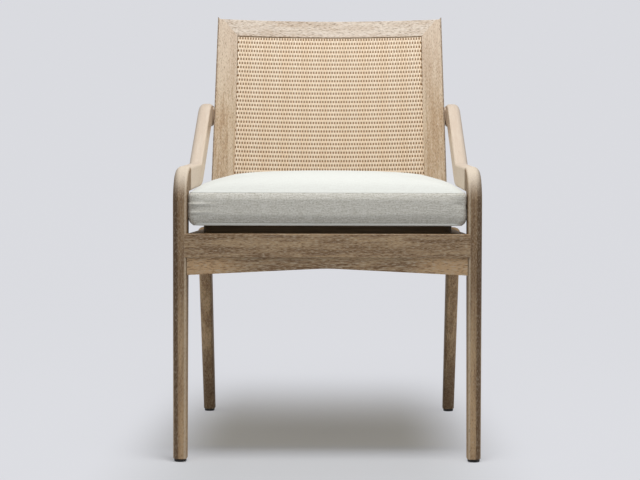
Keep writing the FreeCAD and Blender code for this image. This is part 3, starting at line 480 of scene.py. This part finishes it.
def oak_for(grain, tone):
    """Finish for one grain direction and tone, made when it is first needed."""
    key = f"limed_oak_{tone}_{grain}"
    if key not in finishes:
        finishes[key] = limed_oak(key, grain, **TONES[tone])
    return finishes[key]


print(len(OAK_BOARDS), "oak boards")

# %% [markdown]
# ## Eased edges
# A joiner takes the sharp arris off every board with a plane, and that narrow facet catches the light. The
# solids have sharp edges where boards were only sawn, so a bevel is laid over them. The solids' faces aren't
# joined to each other, so they are welded first, and the bevel's own faces take a paler finish, as handled
# edges have, which also paints a highlight on the arris.

# %% Finish the boards
ARRIS = 0.8 * MM
BROAD_ARRIS = 1.6 * MM
BROAD_BOARDS = ("front_leg", "rear_leg", "back_stile", "front_seat_rail")
SHARP_EDGE = math.radians(40)
WELD_REACH = 0.01 * MM
ARRIS_SEGMENTS = 2
FLAT_WEIGHT = 80


def ease_edges(board, width):
    """Welds a solid's faces and bevels its sharp edges, with even shading over the flat faces."""
    weld = board.modifiers.new("weld", "WELD")
    weld.merge_threshold = WELD_REACH
    bevel = board.modifiers.new("eased_edges", "BEVEL")
    bevel.width = width
    bevel.segments = ARRIS_SEGMENTS
    bevel.limit_method = "ANGLE"
    bevel.angle_limit = SHARP_EDGE
    bevel.material = 1
    evened = board.modifiers.new("even_shading", "WEIGHTED_NORMAL")
    evened.weight = FLAT_WEIGHT
    evened.keep_sharp = True


for name, (grain, tone, edge_tone) in OAK_BOARDS.items():
    slots = nodes[name].data.materials
    slots.clear()
    slots.append(oak_for(grain, tone))
    slots.append(oak_for(grain, edge_tone))
    ease_edges(nodes[name], BROAD_ARRIS if name.startswith(BROAD_BOARDS) else ARRIS)
print(len(finishes), "oak finishes on", len(OAK_BOARDS), "boards")

# %% [markdown]
# ## Woven cane
# The back is filled with a close-woven sheet of cane: flat upright strands run in front of flat cross strands
# and dip behind every second one, and neighbours dip at the other rows, so dark upright slots appear in
# staggered rows. A picture of a weave would look flat from the side, so every strand is real. The sheet
# follows the bent back, which is part of a cylinder that leans, and a strand is an oval profile carried along
# a wave on that cylinder.

# %% Places on the leaning back
BACK_RADIUS = 1850 * MM
BACK_FOOT_Y = 162.4 * MM
SEAT_TOP = 415 * MM
RECLINE = math.radians(13)


def on_back(across, depth, up):
    """Places points of the back: across the chair, behind the back's front face, and up along its lean. The
    front face is a cylinder about an axis in front of it, so a point lies sqrt((R + depth)^2 - across^2) - R
    behind the foot, and the whole is then turned back by the recline."""
    inward = np.sqrt((BACK_RADIUS + depth) ** 2 - across ** 2) - BACK_RADIUS
    y = BACK_FOOT_Y + inward * math.cos(RECLINE) + up * math.sin(RECLINE)
    z = SEAT_TOP - inward * math.sin(RECLINE) + up * math.cos(RECLINE)
    return spots(across, y, z)


print("back's foot at", on_back(0.0, 0.0, 0.0).round(3), "m")

# %% Cane finish
# Rattan bark: smooth, straw coloured and slightly glossy, with each strand its own tone. Where a strand dives
# behind another, it is darkened with painted shade, so the slots are a deep brown.
CANE_FIBRE = (1.2 * MM, 1.2 * MM, 26 * MM)
CANE_RANGE = (0.6, 1.4)


def cane_finish(name, straw, pale, slot):
    """Straw mixed with a paler tone strand by strand and along the fibres, and darkened with painted shade in
    the weave's recesses."""
    material, tree = new_material(name)
    fibre = stretched_noise(tree, object_spot(tree), CANE_FIBRE, 2.0)
    strand = add(tree, "ShaderNodeAttribute", attribute_name="strand_tone").outputs["Fac"]
    tone = ranged(tree, reckon(tree, "ADD", fibre, strand), CANE_RANGE)
    skin = blend(tree, tone, colour(straw), colour(pale))
    painted_shade = add(tree, "ShaderNodeAttribute", attribute_name="painted_shade").outputs["Fac"]
    shaded = blend(tree, painted_shade, skin, colour(slot))
    end_with(tree, {"Base Color": shaded, "Roughness": 0.45, "IOR": 1.5, "Specular IOR Level": 0.4})
    return material


cane = cane_finish("rattan_cane", "#f4daba", "#fcebd4", "#91704c")
print("cane finish ready")

# %% The sheet's opening and rows
ROW_PITCH = 9.62 * MM
STRAND_PITCH = 2.925 * MM
CANE_DEPTH = 7.0 * MM
CANE_BULGE = 4.6 * MM
BULGE_RUN = 2.5 * MM
FIRST_ROW = 8.0 * MM
OPENING_LOW = 62 * MM
OPENING_TOP = 431.4 * MM
OPENING_HALF_LOW = 206.2 * MM
OPENING_HALF_TOP = 204.5 * MM
TUCK = 3 * MM
row_numbers = np.arange(int((OPENING_TOP - OPENING_LOW - FIRST_ROW) / ROW_PITCH) + 1)


def opening_fade(across, up, run):
    """One in the open part of the sheet, falling to nothing at its rim, where it is clamped in the frame."""
    half_open = np.interp(up, [OPENING_LOW, OPENING_TOP], [OPENING_HALF_LOW, OPENING_HALF_TOP])
    inside = np.minimum(np.minimum(up - OPENING_LOW, OPENING_TOP - up), half_open - np.abs(across))
    return np.clip(inside / run, 0, 1)


def sheet_depth(across, up):
    """Middle of the sheet behind the back's front face: pushed forward by the strip behind its rim."""
    return CANE_DEPTH - CANE_BULGE * np.sqrt(opening_fade(across, up, BULGE_RUN))


print("opening has", len(row_numbers), "rows of cane")

# %% Strands as pieces
def add_float(piece, name, values):
    """Stores one number per vertex under a name that a material can read."""
    stored = piece.data.attributes.new(name, "FLOAT", "POINT")
    stored.data.foreach_set("value", values.astype(np.float32).ravel())


def bundle_quads(strands, along, around):
    """Quads of many tubes of the same size that lie one after the other in one array."""
    tube = grid_quads(along, around, columns_close=True)
    return (tube[None] + (np.arange(strands) * along * around)[:, None, None]).reshape(-1, 4)


def cane_piece(name, points, tone, painted_shade):
    """Bundle of strands as one piece, with its tones and painted shade stored on its points."""
    piece = mesh_piece(name, points.reshape(-1, 3), bundle_quads(*points.shape[:3]), cane)
    add_float(piece, "strand_tone", np.broadcast_to(tone, points.shape[:3]))
    add_float(piece, "painted_shade", np.broadcast_to(painted_shade, points.shape[:3]))
    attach(piece, "frame")
    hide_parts("cane_panel")


# %% Upright strands
STRAND_HALF_WIDTH = 1.43 * MM
STRAND_HALF_THICKNESS = 0.42 * MM
STRAND_FRONT = -0.72 * MM
STRAND_BACK = 0.75 * MM
STRAND_ARCH = 0.3 * MM
DIP_START = 0.5
RIM_RUN = 1.5 * MM
ROW_SHADE = 0.2
RECESS_GAIN = 2.4
RECESS_START = 0.2
TONE_MIDDLE = 0.5
TONE_SPREAD = 0.22
TONE_TURN = 12.9898
TONE_WOBBLE = 4.1
BUNDLES = 4
PROFILE_POINTS = 6
ROW_SAMPLES = np.array([-0.42, -0.3, -0.22, -0.14, 0.0, 0.14, 0.22, 0.3])


def upright_strands(name, numbers):
    """Oval profile carried up the back. A cosine with one half wave per row says where the strand is: it
    arches a little forward over one cross strand and, below a threshold, dips smoothly behind the next. The
    strand's number shifts the wave by half a turn, so neighbours dip at different rows."""
    numbers = numbers[:, None, None]
    rows = (row_numbers[:, None] + ROW_SAMPLES[None]).ravel() * ROW_PITCH + OPENING_LOW + FIRST_ROW
    inside = rows[(rows > OPENING_LOW) & (rows < OPENING_TOP)]
    up = np.r_[OPENING_LOW - TUCK, OPENING_LOW, inside, OPENING_TOP, OPENING_TOP + TUCK][None, :, None]
    angle = once_round(PROFILE_POINTS)[None, None, :]
    place = numbers * STRAND_PITCH
    turn = math.pi * (up - OPENING_LOW - FIRST_ROW) / ROW_PITCH
    wave = np.cos(turn + math.pi * numbers)
    dip = np.clip((-wave - DIP_START) / (1 - DIP_START), 0, 1)
    dip = dip ** 2 * (3 - 2 * dip)
    level = STRAND_FRONT - STRAND_ARCH * np.maximum(wave, 0) + (STRAND_BACK - STRAND_FRONT) * dip
    across = place + STRAND_HALF_WIDTH * np.cos(angle)
    level = level * opening_fade(place, up, RIM_RUN)
    depth = sheet_depth(place, up) + level + STRAND_HALF_THICKNESS * np.sin(angle)
    tone = TONE_MIDDLE + TONE_SPREAD * np.sin(numbers * TONE_TURN + np.sin(numbers * TONE_WOBBLE))
    # Painted shade: a little along each row, and deep where the strand dips behind a cross strand.
    shade = ROW_SHADE * np.cos(turn) ** 4
    painted_shade = np.clip(RECESS_GAIN * dip - RECESS_START, 0, 1)
    cane_piece(name, on_back(across, depth, up), tone, painted_shade * (1 - shade) + shade)


outermost = int((OPENING_HALF_LOW + TUCK) / STRAND_PITCH)
strand_numbers = np.arange(-outermost, outermost + 1)
for bundle, numbers in enumerate(np.array_split(strand_numbers, BUNDLES), start=1):
    upright_strands(f"cane_strands_{bundle}", numbers)

# %% Cross strands
CROSS_HALF_HEIGHT = 2.3 * MM
CROSS_HALF_THICKNESS = 0.22 * MM
CROSS_SAMPLES = 72
CROSS_TONE_TURN = 7.3
CROSS_BACK = 0.1


def cross_strands(name):
    """Flat ovals carried across the back at each row. Only their fronts are painted with the slots' shade."""
    level = (OPENING_LOW + FIRST_ROW + row_numbers * ROW_PITCH)[:, None, None]
    half = OPENING_HALF_TOP + TUCK
    across = np.linspace(-half, half, CROSS_SAMPLES)[None, :, None]
    angle = once_round(PROFILE_POINTS)[None, None, :]
    up = np.clip(level + CROSS_HALF_HEIGHT * np.cos(angle), OPENING_LOW - TUCK, OPENING_TOP + TUCK)
    depth = sheet_depth(across, up) + CROSS_HALF_THICKNESS * np.sin(angle)
    tone = TONE_MIDDLE + TONE_SPREAD * np.sin(row_numbers[:, None, None] * CROSS_TONE_TURN)
    painted_shade = np.where(np.sin(angle) < CROSS_BACK, 1.0, 0.0)
    cane_piece(name, on_back(across, depth, up), tone, painted_shade)


cross_strands("cane_cross_strands")
print(len(strand_numbers), "upright strands cross", len(row_numbers), "rows")

# %% [markdown]
# ## Cushion
# The seat is a loose box cushion in natural linen: a crowned top panel, a band round the sides and a flat
# bottom panel that rests on the deck. The panels are grids that share their seam points. Blender's cloth
# solver then blows the cover up with air pressure, which rounds it between the seams as real filling does,
# and a cap keeps it from ballooning.

# %% Linen finish
# Linen: thick and thin yarns in a plain weave, matt, with long slubs. Its yarns are about 0.5 mm apart, too
# fine to show, so they are drawn 1.4 mm apart.
YARN = 1.4 * MM
SLUB_ACROSS = (16 * MM, 1.8 * MM, 1.0)
SLUB_ALONG = (3.5 * MM, 2.5 * MM, 1.0)
FLECK = (3.2 * MM, 1.8 * MM, 1.0)
SLUB_RANGE = (0.8, 1.16)
FLECK_RANGE = (0.56, 0.7)
WAVE_SCALE = 2 * math.pi / 20
YARN_UNEVENNESS = 0.6
YARN_RELIEF = 0.3
YARN_DEPTH = 0.25 * MM


def linen_finish(name, pale, deep, speck, speck_share):
    """Two sets of slubs at right angles tint the cloth, short flecks darken it, and fine waves raise its
    yarns."""
    material, tree = new_material(name)
    flat = add(tree, "ShaderNodeUVMap", uv_map="metres").outputs[0]
    slubs = reckon(tree, "ADD", stretched_noise(tree, flat, SLUB_ACROSS, 3.0),
                   stretched_noise(tree, flat, SLUB_ALONG, 3.0))
    dyed = blend(tree, ranged(tree, slubs, SLUB_RANGE), colour(deep), colour(pale))
    fleck = stretched_noise(tree, flat, FLECK, 1.0)
    flecked = blend(tree, ranged(tree, fleck, FLECK_RANGE, (0.0, speck_share)), dyed, colour(speck))
    yarns = {"Vector": flat, "Scale": (YARN, YARN, 1.0)}
    threads = add(tree, "ShaderNodeMapping", yarns, vector_type="TEXTURE").outputs[0]
    inputs = {"Vector": threads, "Scale": WAVE_SCALE, "Distortion": YARN_UNEVENNESS}
    waves = [add(tree, "ShaderNodeTexWave", inputs, bands_direction=direction).outputs["Fac"]
             for direction in ("X", "Y")]
    height = reckon(tree, "ADD", reckon(tree, "MAXIMUM", *waves), slubs)
    relief = add(tree, "ShaderNodeBump", {"Strength": YARN_RELIEF, "Distance": YARN_DEPTH, "Height": height})
    end_with(tree, {"Base Color": flecked, "Roughness": 0.92, "Normal": relief.outputs[0],
                    "Specular IOR Level": 0.2, "Sheen Weight": 0.15, "Sheen Roughness": 0.5})
    return material


# One linen in two copies: the band's is darker with stronger slubs, painted shade for the side facing away
# from the lamp, and the top's is paler and flatter, a painted highlight.
linen = linen_finish("natural_linen", "#e1e3de", "#dcddd8", "#d4d4cd", 0.15)
painted_shade_linen = linen_finish("natural_linen_painted_shade", "#e1dfd8", "#c2bfb4", "#a19d8f", 0.6)
print("linen finish ready")

# %% Plan of the cushion
CUSHION_HALF_WIDTH = 254.9 * MM
CUSHION_FRONT = -293.0 * MM
CUSHION_BACK = 149.8 * MM
CUSHION_CORNER = 15 * MM
half_depth = (CUSHION_BACK - CUSHION_FRONT) / 2
middle_y = (CUSHION_BACK + CUSHION_FRONT) / 2


def cushion_plan(a, b, draw):
    """Rounded rectangle in plan: a ring of the unit square becomes a ring of the rectangle, drawn in from its
    edge, and beyond the corners' centres the way outwards is cut to the corner's radius."""
    ring = np.maximum(np.abs(a), np.abs(b))
    safe = np.maximum(ring, TINY)
    half_x = CUSHION_HALF_WIDTH - draw
    half_y = half_depth - draw
    x = a / safe * half_x
    y = b / safe * half_y
    core_x = np.clip(x, CUSHION_CORNER - half_x, half_x - CUSHION_CORNER)
    core_y = np.clip(y, CUSHION_CORNER - half_y, half_y - CUSHION_CORNER)
    out_x = x - core_x
    out_y = y - core_y
    shrink = CUSHION_CORNER / np.maximum(np.hypot(out_x, out_y), TINY)
    shrink = np.minimum(shrink, 1)
    return ring * (core_x + out_x * shrink), middle_y + ring * (core_y + out_y * shrink)


print("cushion is", round(2 * half_depth, 3), "m deep")

# %% Top and bottom panels
CUSHION_LOW = 429.5 * MM
CUSHION_SEAM = 489.9 * MM
CUSHION_CROWN = 42 * MM
EDGE_POWER = 10.0
MIDDLE_POWER = 2.4
EDGE_SHARE = 0.35
SEAM_DRAW = 3.6 * MM
FOOT_DRAW = 11 * MM
PANEL_COUNT = 91


def unit_square():
    """Both places of a panel's points in the unit square."""
    step = np.linspace(-1, 1, PANEL_COUNT)
    return np.meshgrid(step, step)


def panel_points(height, draw):
    """Square panel of the cushion: its plan comes from the unit square."""
    x, y = cushion_plan(*unit_square(), draw)
    return spots(x, y, height).reshape(-1, 3)


def crown_share(place):
    """One in the middle, nothing at the seam: one minus two powers, a high one for the steep rim and a low
    one for the slow rise behind it."""
    return 1 - EDGE_SHARE * np.abs(place) ** EDGE_POWER - (1 - EDGE_SHARE) * np.abs(place) ** MIDDLE_POWER


def crown_height(a, b):
    """Top panel: the harmonic mean of the crown's shares across and from front to back, which keeps corners
    full."""
    across = crown_share(a)
    along = crown_share(b)
    return CUSHION_SEAM + CUSHION_CROWN * 2 * across * along / np.maximum(across + along, TINY)


top_panel = panel_points(crown_height(*unit_square()), SEAM_DRAW)
bottom_panel = panel_points(CUSHION_LOW, FOOT_DRAW)
print("panels of", len(top_panel), "and", len(bottom_panel), "points")

# %% Side band
SHOULDER_SHARE = 0.15
FOOT_SHARE = 0.3
CREASES = ((468.5 * MM, 2.6 * MM), (453 * MM, 1.6 * MM))
CREASE_WIDTH = 2.2 * MM
CREASE_END = -200 * MM
CREASE_RUN = 40 * MM
BAND_ROWS = 28
# The rim is the numbers of a panel's outermost points, once round from the front left corner.
panel_numbers = np.arange(PANEL_COUNT ** 2)
square = panel_numbers.reshape(PANEL_COUNT, PANEL_COUNT)
rim = np.concatenate([square[0, :-1], square[:-1, -1], square[-1, :0:-1], square[:0:-1, 0]])
rim_a, rim_b = [place.ravel()[rim] for place in unit_square()]


def band_points():
    """Side band between the seams: the same rim at falling heights, rounded by a quarter ellipse at the
    shoulder under the top seam and by a larger one at the foot. Two creases run from the front left corner
    and fade away along the front."""
    share = np.linspace(0, 1, BAND_ROWS)[1:-1, None]
    drop = np.clip((share - 1 + FOOT_SHARE) / FOOT_SHARE, 0, 1)
    lift = np.clip((SHOULDER_SHARE - share) / SHOULDER_SHARE, 0, 1)
    draw = SEAM_DRAW * (1 - np.sqrt(1 - lift ** 2)) + FOOT_DRAW * (1 - np.sqrt(1 - drop ** 2))
    x, y = cushion_plan(rim_a[None], rim_b[None], draw)
    z = CUSHION_SEAM - share * (CUSHION_SEAM - CUSHION_LOW)
    on_front = y < CUSHION_FRONT + CUSHION_CORNER
    for height, rise in CREASES:
        fade = np.clip((CREASE_END - x) / CREASE_RUN, 0, 1) * on_front
        y = y - rise * fade * np.exp(-((z - height) / CREASE_WIDTH) ** 2)
    return spots(x, y, z)


band = band_points()
print("band of", len(band), "rows with", len(rim), "points each")

# %% Sew the cover together
cushion_points = np.concatenate([top_panel, bottom_panel, band.reshape(-1, 3)])
band_numbers = 2 * PANEL_COUNT ** 2 + np.arange(band[..., 0].size).reshape(band.shape[:2])
rim_rows = np.concatenate([rim[None], band_numbers, PANEL_COUNT ** 2 + rim[None]])
panel_quads = grid_quads(PANEL_COUNT, PANEL_COUNT)
band_quads = rim_rows.ravel()[grid_quads(len(rim_rows), len(rim), columns_close=True)][:, ::-1]
cushion_quads = np.concatenate([panel_quads, panel_quads[:, ::-1] + PANEL_COUNT ** 2, band_quads])


def length_along(path):
    """Length along a closed path at each point, and at last at the first point again."""
    steps = np.linalg.norm(np.roll(path, -1, axis=0) - path, axis=1)
    return np.concatenate([[0], np.cumsum(steps)])


def cushion_uv():
    """Flat cloth in metres: panels by their plan, and the band by the length round the rim and the height."""
    flat = cushion_points[cushion_quads][:, :, :2].copy()
    around = length_along(top_panel[rim])
    start = around[:-1]
    end = around[1:]
    pairs = np.stack([start, end, end, start], axis=-1)[:, ::-1]
    first_band = 2 * len(panel_quads)
    flat[first_band:, :, 0] = np.tile(pairs, (len(rim_rows) - 1, 1))
    flat[first_band:, :, 1] = cushion_points[band_quads][:, :, 2]
    return flat


cushion = mesh_piece("cushion_linen", cushion_points, cushion_quads, linen, cushion_uv())
cushion.data.materials.append(painted_shade_linen)
is_band = np.arange(len(cushion_quads)) >= 2 * len(panel_quads)
cushion.data.polygons.foreach_set("material_index", is_band.astype(np.int32))

# %% [markdown]
# ## Filling the cushion
# The bottom panel is pinned because it lies on the deck, and the top seam because it is stiff. Gravity is
# off, so only the air pressure acts. After twenty steps the new places are read back, each point's move is
# capped, and the cloth modifier is taken off again.

# %% Blow the cover up
STEPS = 20
MOVE_CAP = 1.6 * MM
CLOTH = {"quality": 6, "mass": 0.25, "tension_stiffness": 18, "compression_stiffness": 12,
         "shear_stiffness": 8, "bending_stiffness": 1.5, "use_pressure": True,
         "uniform_pressure_force": 2.5, "vertex_group_mass": "resting"}


def blow_up(piece, pinned):
    """Cloth under pressure with pinned points; returns the moved points, none further than the cap."""
    start = np.empty(len(piece.data.vertices) * 3, np.float32)
    piece.data.vertices.foreach_get("co", start)
    start = start.reshape(-1, 3)
    resting = piece.vertex_groups.new(name="resting")
    resting.add(pinned.tolist(), 1.0, "REPLACE")
    cloth = piece.modifiers.new("cloth", "CLOTH")
    for setting, amount in CLOTH.items():
        setattr(cloth.settings, setting, amount)
    cloth.settings.effector_weights.gravity = 0
    cloth.collision_settings.use_collision = False
    for step in range(1, STEPS + 1):
        bpy.context.scene.frame_set(step)
    settled = piece.evaluated_get(bpy.context.evaluated_depsgraph_get()).data
    moved = np.empty(len(settled.vertices) * 3, np.float32)
    settled.vertices.foreach_get("co", moved)
    move = moved.reshape(-1, 3) - start
    piece.modifiers.remove(cloth)
    piece.vertex_groups.remove(resting)
    bpy.context.scene.frame_set(1)
    reach = np.linalg.norm(move, axis=1, keepdims=True)
    largest = round(float(reach.max()) / MM, 1)
    print("largest move", largest, "mm, mean", round(float(reach.mean()) / MM, 1), "mm")
    return start + move * np.minimum(1, MOVE_CAP / np.maximum(reach, TINY))


filled = blow_up(cushion, np.concatenate([rim, PANEL_COUNT ** 2 + panel_numbers]))
print(len(filled), "points filled")

# %% Lay the cushion on the deck
# The filled cover keeps to its room between the front legs and the back, and above the deck.
ROOM_HALF_WIDTH = 254.95 * MM
ROOM_FRONT = CUSHION_FRONT - 2.5 * MM
ROOM_BACK = CUSHION_BACK + 0.6 * MM
filled[:, 0] = np.clip(filled[:, 0], -ROOM_HALF_WIDTH, ROOM_HALF_WIDTH)
filled[:, 1] = np.clip(filled[:, 1], ROOM_FRONT, ROOM_BACK)
filled[:, 2] = np.maximum(filled[:, 2], CUSHION_LOW)
cushion.data.vertices.foreach_set("co", filled.astype(np.float32).ravel())
cushion.data.update()
softer = cushion.modifiers.new("softer", "SUBSURF")
softer.levels = 1
softer.render_levels = 1
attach(cushion, "cushion")
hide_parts("cushion_cover", "cushion_foam")
print("crown at", round(float(filled[:, 2].max()) / MM, 1), "mm")

# %% [markdown]
# ## Seams
# The top panel and the band are sewn face to face and turned, so the seam stands out as a thin roll of folded
# cloth with a shadow under it. At the foot the seam is thicker, because the band is folded over a cord there.
# Each is a round profile carried round the cushion.

# %% Top and bottom seams
TOP_SEAM_RADIUS = 0.7 * MM
FOOT_SEAM_RADIUS = 2.4 * MM
FOOT_SEAM_DRAW = 5.2 * MM
FOOT_SEAM_SIDE_DRAW = 9.5 * MM
FOOT_SEAM_HEIGHT = 432.3 * MM
SEAM_POINTS = 8


def seam_roll(name, path, radius):
    """Circle carried along a closed path. Each circle stands across the path, in the plane of the plan's
    outward normal and the vertical."""
    ahead = np.roll(path, -1, axis=0) - np.roll(path, 1, axis=0)
    outward = np.stack([ahead[:, 1], -ahead[:, 0], np.zeros(len(path))], axis=-1)
    outward /= np.linalg.norm(outward, axis=1, keepdims=True)
    angle = once_round(SEAM_POINTS)
    upward = np.array([0.0, 0.0, 1.0])
    ring = np.cos(angle)[None, :, None] * outward[:, None] + np.sin(angle)[None, :, None] * upward
    points = path[:, None] + radius * ring
    quads = grid_quads(len(path), SEAM_POINTS, rows_close=True, columns_close=True)
    along = length_along(path)
    row = np.repeat(np.arange(len(path)), SEAM_POINTS)
    around = np.tile(np.arange(SEAM_POINTS), len(path)) * radius
    here = along[row]
    there = along[row + 1]
    corners = [(here, around), (here, around + radius), (there, around + radius), (there, around)]
    uv = np.stack([np.stack(corner, axis=-1) for corner in corners], axis=1)
    roll = mesh_piece(name, points.reshape(-1, 3), quads, linen, uv)
    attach(roll, "cushion")


# The foot seam is drawn in further at the sides, where the cushion's lower corners are rounder.
foot_x = cushion_plan(rim_a, rim_b, FOOT_SEAM_SIDE_DRAW)[0]
foot_y = cushion_plan(rim_a, rim_b, FOOT_SEAM_DRAW)[1]
seam_roll("cushion_top_seam", filled[rim], TOP_SEAM_RADIUS)
seam_roll("cushion_foot_seam", spots(foot_x, foot_y, FOOT_SEAM_HEIGHT), FOOT_SEAM_RADIUS)

# %% [markdown]
# ## Small parts
# The glides are black nylon on a steel nail, the deck is stained plywood that shows as a dark gap under the
# cushion, and the blocks and dowels inside the seat box are bare beech. Their solids already have the right
# shapes.

# %% Plain wood
def plain_grain(name, pale, deep, size, roughness):
    """Bare or stained board: one stretched noise between two tones."""
    material, tree = new_material(name)
    grain = stretched_noise(tree, object_spot(tree), size, 4.0)
    wood = blend(tree, ranged(tree, grain, SHEEN_RANGE), colour(deep), colour(pale))
    relief = add(tree, "ShaderNodeBump", {"Strength": 0.15, "Distance": 0.2 * MM, "Height": grain})
    end_with(tree, {"Base Color": wood, "Roughness": roughness, "Normal": relief.outputs[0], "IOR": 1.5})
    return material


# Beech is even and close-grained; the plywood is stained dark brown, so only a trace of its grain shows.
beech = plain_grain("raw_beech", "#dcbf95", "#c7a678", (2 * MM, 30 * MM, 2 * MM), 0.7)
stained_ply = plain_grain("stained_plywood", "#6a5840", "#4c3e2b", (60 * MM, 3 * MM, 3 * MM), 0.75)
print("beech and plywood ready")

# %% Nylon and zinc
NECK_RANGE = (3.6 * MM, 4.2 * MM)
MOULDED_GRAIN = 1.2 * MM
NYLON_ROUGHNESS = (0.35, 0.6)
ZINC = "#b9bbbd"
ZINC_CRYSTAL = 1.5 * MM
ZINC_ROUGHNESS = (0.3, 0.5)


def glide_nylon(name, pad, neck):
    """Moulded nylon, black at the pad and grey-brown at the neck above it, with a fine moulded grain."""
    material, tree = new_material(name)
    spot = object_spot(tree)
    tone = blend(tree, ranged(tree, split(tree, spot)["Z"], NECK_RANGE), colour(pad), colour(neck))
    grain = add(tree, "ShaderNodeTexNoise", {"Vector": spot, "Scale": 1 / MOULDED_GRAIN, "Detail": 2.0})
    sheen = ranged(tree, grain.outputs[0], SHEEN_RANGE, NYLON_ROUGHNESS)
    end_with(tree, {"Base Color": tone, "Roughness": sheen})
    return material


def zinc_steel(name):
    """Zinc-plated steel: a bright metal whose crystals vary the roughness."""
    material, tree = new_material(name)
    crystals = add(tree, "ShaderNodeTexVoronoi", {"Vector": object_spot(tree), "Scale": 1 / ZINC_CRYSTAL})
    sheen = ranged(tree, crystals.outputs["Distance"], (0.0, 1.0), ZINC_ROUGHNESS)
    end_with(tree, {"Base Color": colour(ZINC), "Metallic": 1.0, "Roughness": sheen})
    return material


nylon = glide_nylon("black_nylon", "#141414", "#6d6257")
zinc = zinc_steel("zinc_plated_steel")
print("nylon and zinc ready")

# %% [markdown]
# ## Zip
# The cover comes off for washing through a zip in the back of the band, which the backrest hides. A zip is
# two woven tapes with a nylon coil between them and a slider with a pull tab. The coil is a helix, so it is a
# round wire carried along a flattened spiral; the other three are rounded blocks.

# %% Shapes of the zip
ZIP_HEIGHT = 459.65 * MM
ZIP_HALF_LENGTH = 159 * MM
TAPE_HALF_HEIGHT = 4.5 * MM
TAPE_HALF_THICKNESS = 0.4 * MM
COIL_PITCH = 1.6 * MM
COIL_HALF_HEIGHT = 1.5 * MM
COIL_HALF_DEPTH = 0.5 * MM
COIL_WIRE = 0.3 * MM
TURN_POINTS = 8
WIRE_POINTS = 5
SLIDER_PLACE = 150 * MM
SLIDER_HALF_SIZES = np.array([5, 1.3, 3.6]) * MM
PULL_HALF_SIZES = np.array([2.2, 0.5, 7.0]) * MM
PULL_OFFSET = np.array([2.0, 1.6, -6.0]) * MM
TAPE_POWER = 0.2
METAL_POWER = 0.6
BLOCK_ROWS = 13
BLOCK_COLUMNS = 20


def rounded_block(middle, half_sizes, power):
    """Superellipsoid: a sphere whose sines and cosines are raised to a power below one, which squares it
    off."""
    rise = np.linspace(-math.pi / 2, math.pi / 2, BLOCK_ROWS)[:, None]
    turn = once_round(BLOCK_COLUMNS)[None, :]
    ball = spots(np.cos(rise) * np.cos(turn), np.cos(rise) * np.sin(turn), np.sin(rise))
    return (middle + half_sizes * np.sign(ball) * np.abs(ball) ** power).reshape(-1, 3)


def coil_points(middle_y):
    """Wire of the coil: circles across a helix that is flattened from front to back."""
    turns = 2 * ZIP_HALF_LENGTH / COIL_PITCH
    angle = np.linspace(0, 2 * math.pi * turns, int(turns * TURN_POINTS))
    x = COIL_PITCH * angle / (2 * math.pi) - ZIP_HALF_LENGTH
    y = middle_y + COIL_HALF_DEPTH * np.cos(angle)
    z = ZIP_HEIGHT + COIL_HALF_HEIGHT * np.sin(angle)
    spine = spots(x, y, z)
    ahead = np.gradient(spine, axis=0)
    ahead /= np.linalg.norm(ahead, axis=1, keepdims=True)
    outward = np.stack([np.zeros_like(angle), np.cos(angle), np.sin(angle)], axis=-1)
    side = np.cross(ahead, outward)
    ring = once_round(WIRE_POINTS)[None, :, None]
    return spine[:, None] + COIL_WIRE * (np.cos(ring) * outward[:, None] + np.sin(ring) * side[:, None])


print("coil of", round(2 * ZIP_HALF_LENGTH / COIL_PITCH), "turns")

# %% Sew in the zip
def zip_piece(name, points, quads, material):
    """Piece of the zip, which moves with the cushion and takes the place of the solid zip."""
    piece = mesh_piece(name, points, quads, material)
    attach(piece, "cushion")
    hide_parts("cushion_zipper")


# The zip's tape is a close weave of cream polyester, its coil is smooth nylon of the same colour.
zip_tape = plain_grain("zip_tape_weave", "#e6e4dc", "#cbc8bc", (0.8 * MM, 0.8 * MM, 0.8 * MM), 0.9)
zip_coil = plain_grain("zip_coil_nylon", "#efede6", "#dedbd1", (3 * MM, 1 * MM, 1 * MM), 0.4)
along_zip = np.abs(filled[:, 0]) < ZIP_HALF_LENGTH
beside_zip = np.abs(filled[:, 2] - ZIP_HEIGHT) < 2 * TAPE_HALF_HEIGHT
zip_y = float(filled[along_zip & beside_zip, 1].max())
block_quads = grid_quads(BLOCK_ROWS, BLOCK_COLUMNS, columns_close=True)
tape_middle = np.array([0.0, zip_y + 0.5 * TAPE_HALF_THICKNESS, ZIP_HEIGHT])
tape_sizes = np.array([ZIP_HALF_LENGTH, TAPE_HALF_THICKNESS, TAPE_HALF_HEIGHT])
zip_piece("zip_tapes", rounded_block(tape_middle, tape_sizes, TAPE_POWER), block_quads, zip_tape)
coil = coil_points(zip_y + 1.5 * TAPE_HALF_THICKNESS + COIL_HALF_DEPTH)
zip_piece("zip_coil", coil.reshape(-1, 3), grid_quads(*coil.shape[:2], columns_close=True), zip_coil)
slider_middle = np.array([SLIDER_PLACE, zip_y + 3 * TAPE_HALF_THICKNESS, ZIP_HEIGHT])
slider = rounded_block(slider_middle, SLIDER_HALF_SIZES, METAL_POWER)
zip_piece("zip_slider", slider, block_quads, zinc)
pull = rounded_block(slider_middle + PULL_OFFSET, PULL_HALF_SIZES, METAL_POWER)
zip_piece("zip_pull", pull, block_quads, zinc)

# %% Finish the small parts
# Solids that still show and aren't oak take the finishes above. What isn't named here is beech.
SPECIAL = {"deck_screws": zinc, "seat_deck": stained_ply}
small_parts = [name for name, node in nodes.items() if name not in OAK_BOARDS and not node.hide_render]
for name in small_parts:
    finish = nylon if name.startswith("glide") else SPECIAL.get(name, beech)
    nodes[name].data.materials.clear()
    nodes[name].data.materials.append(finish)
print(len(small_parts), "small parts finished")
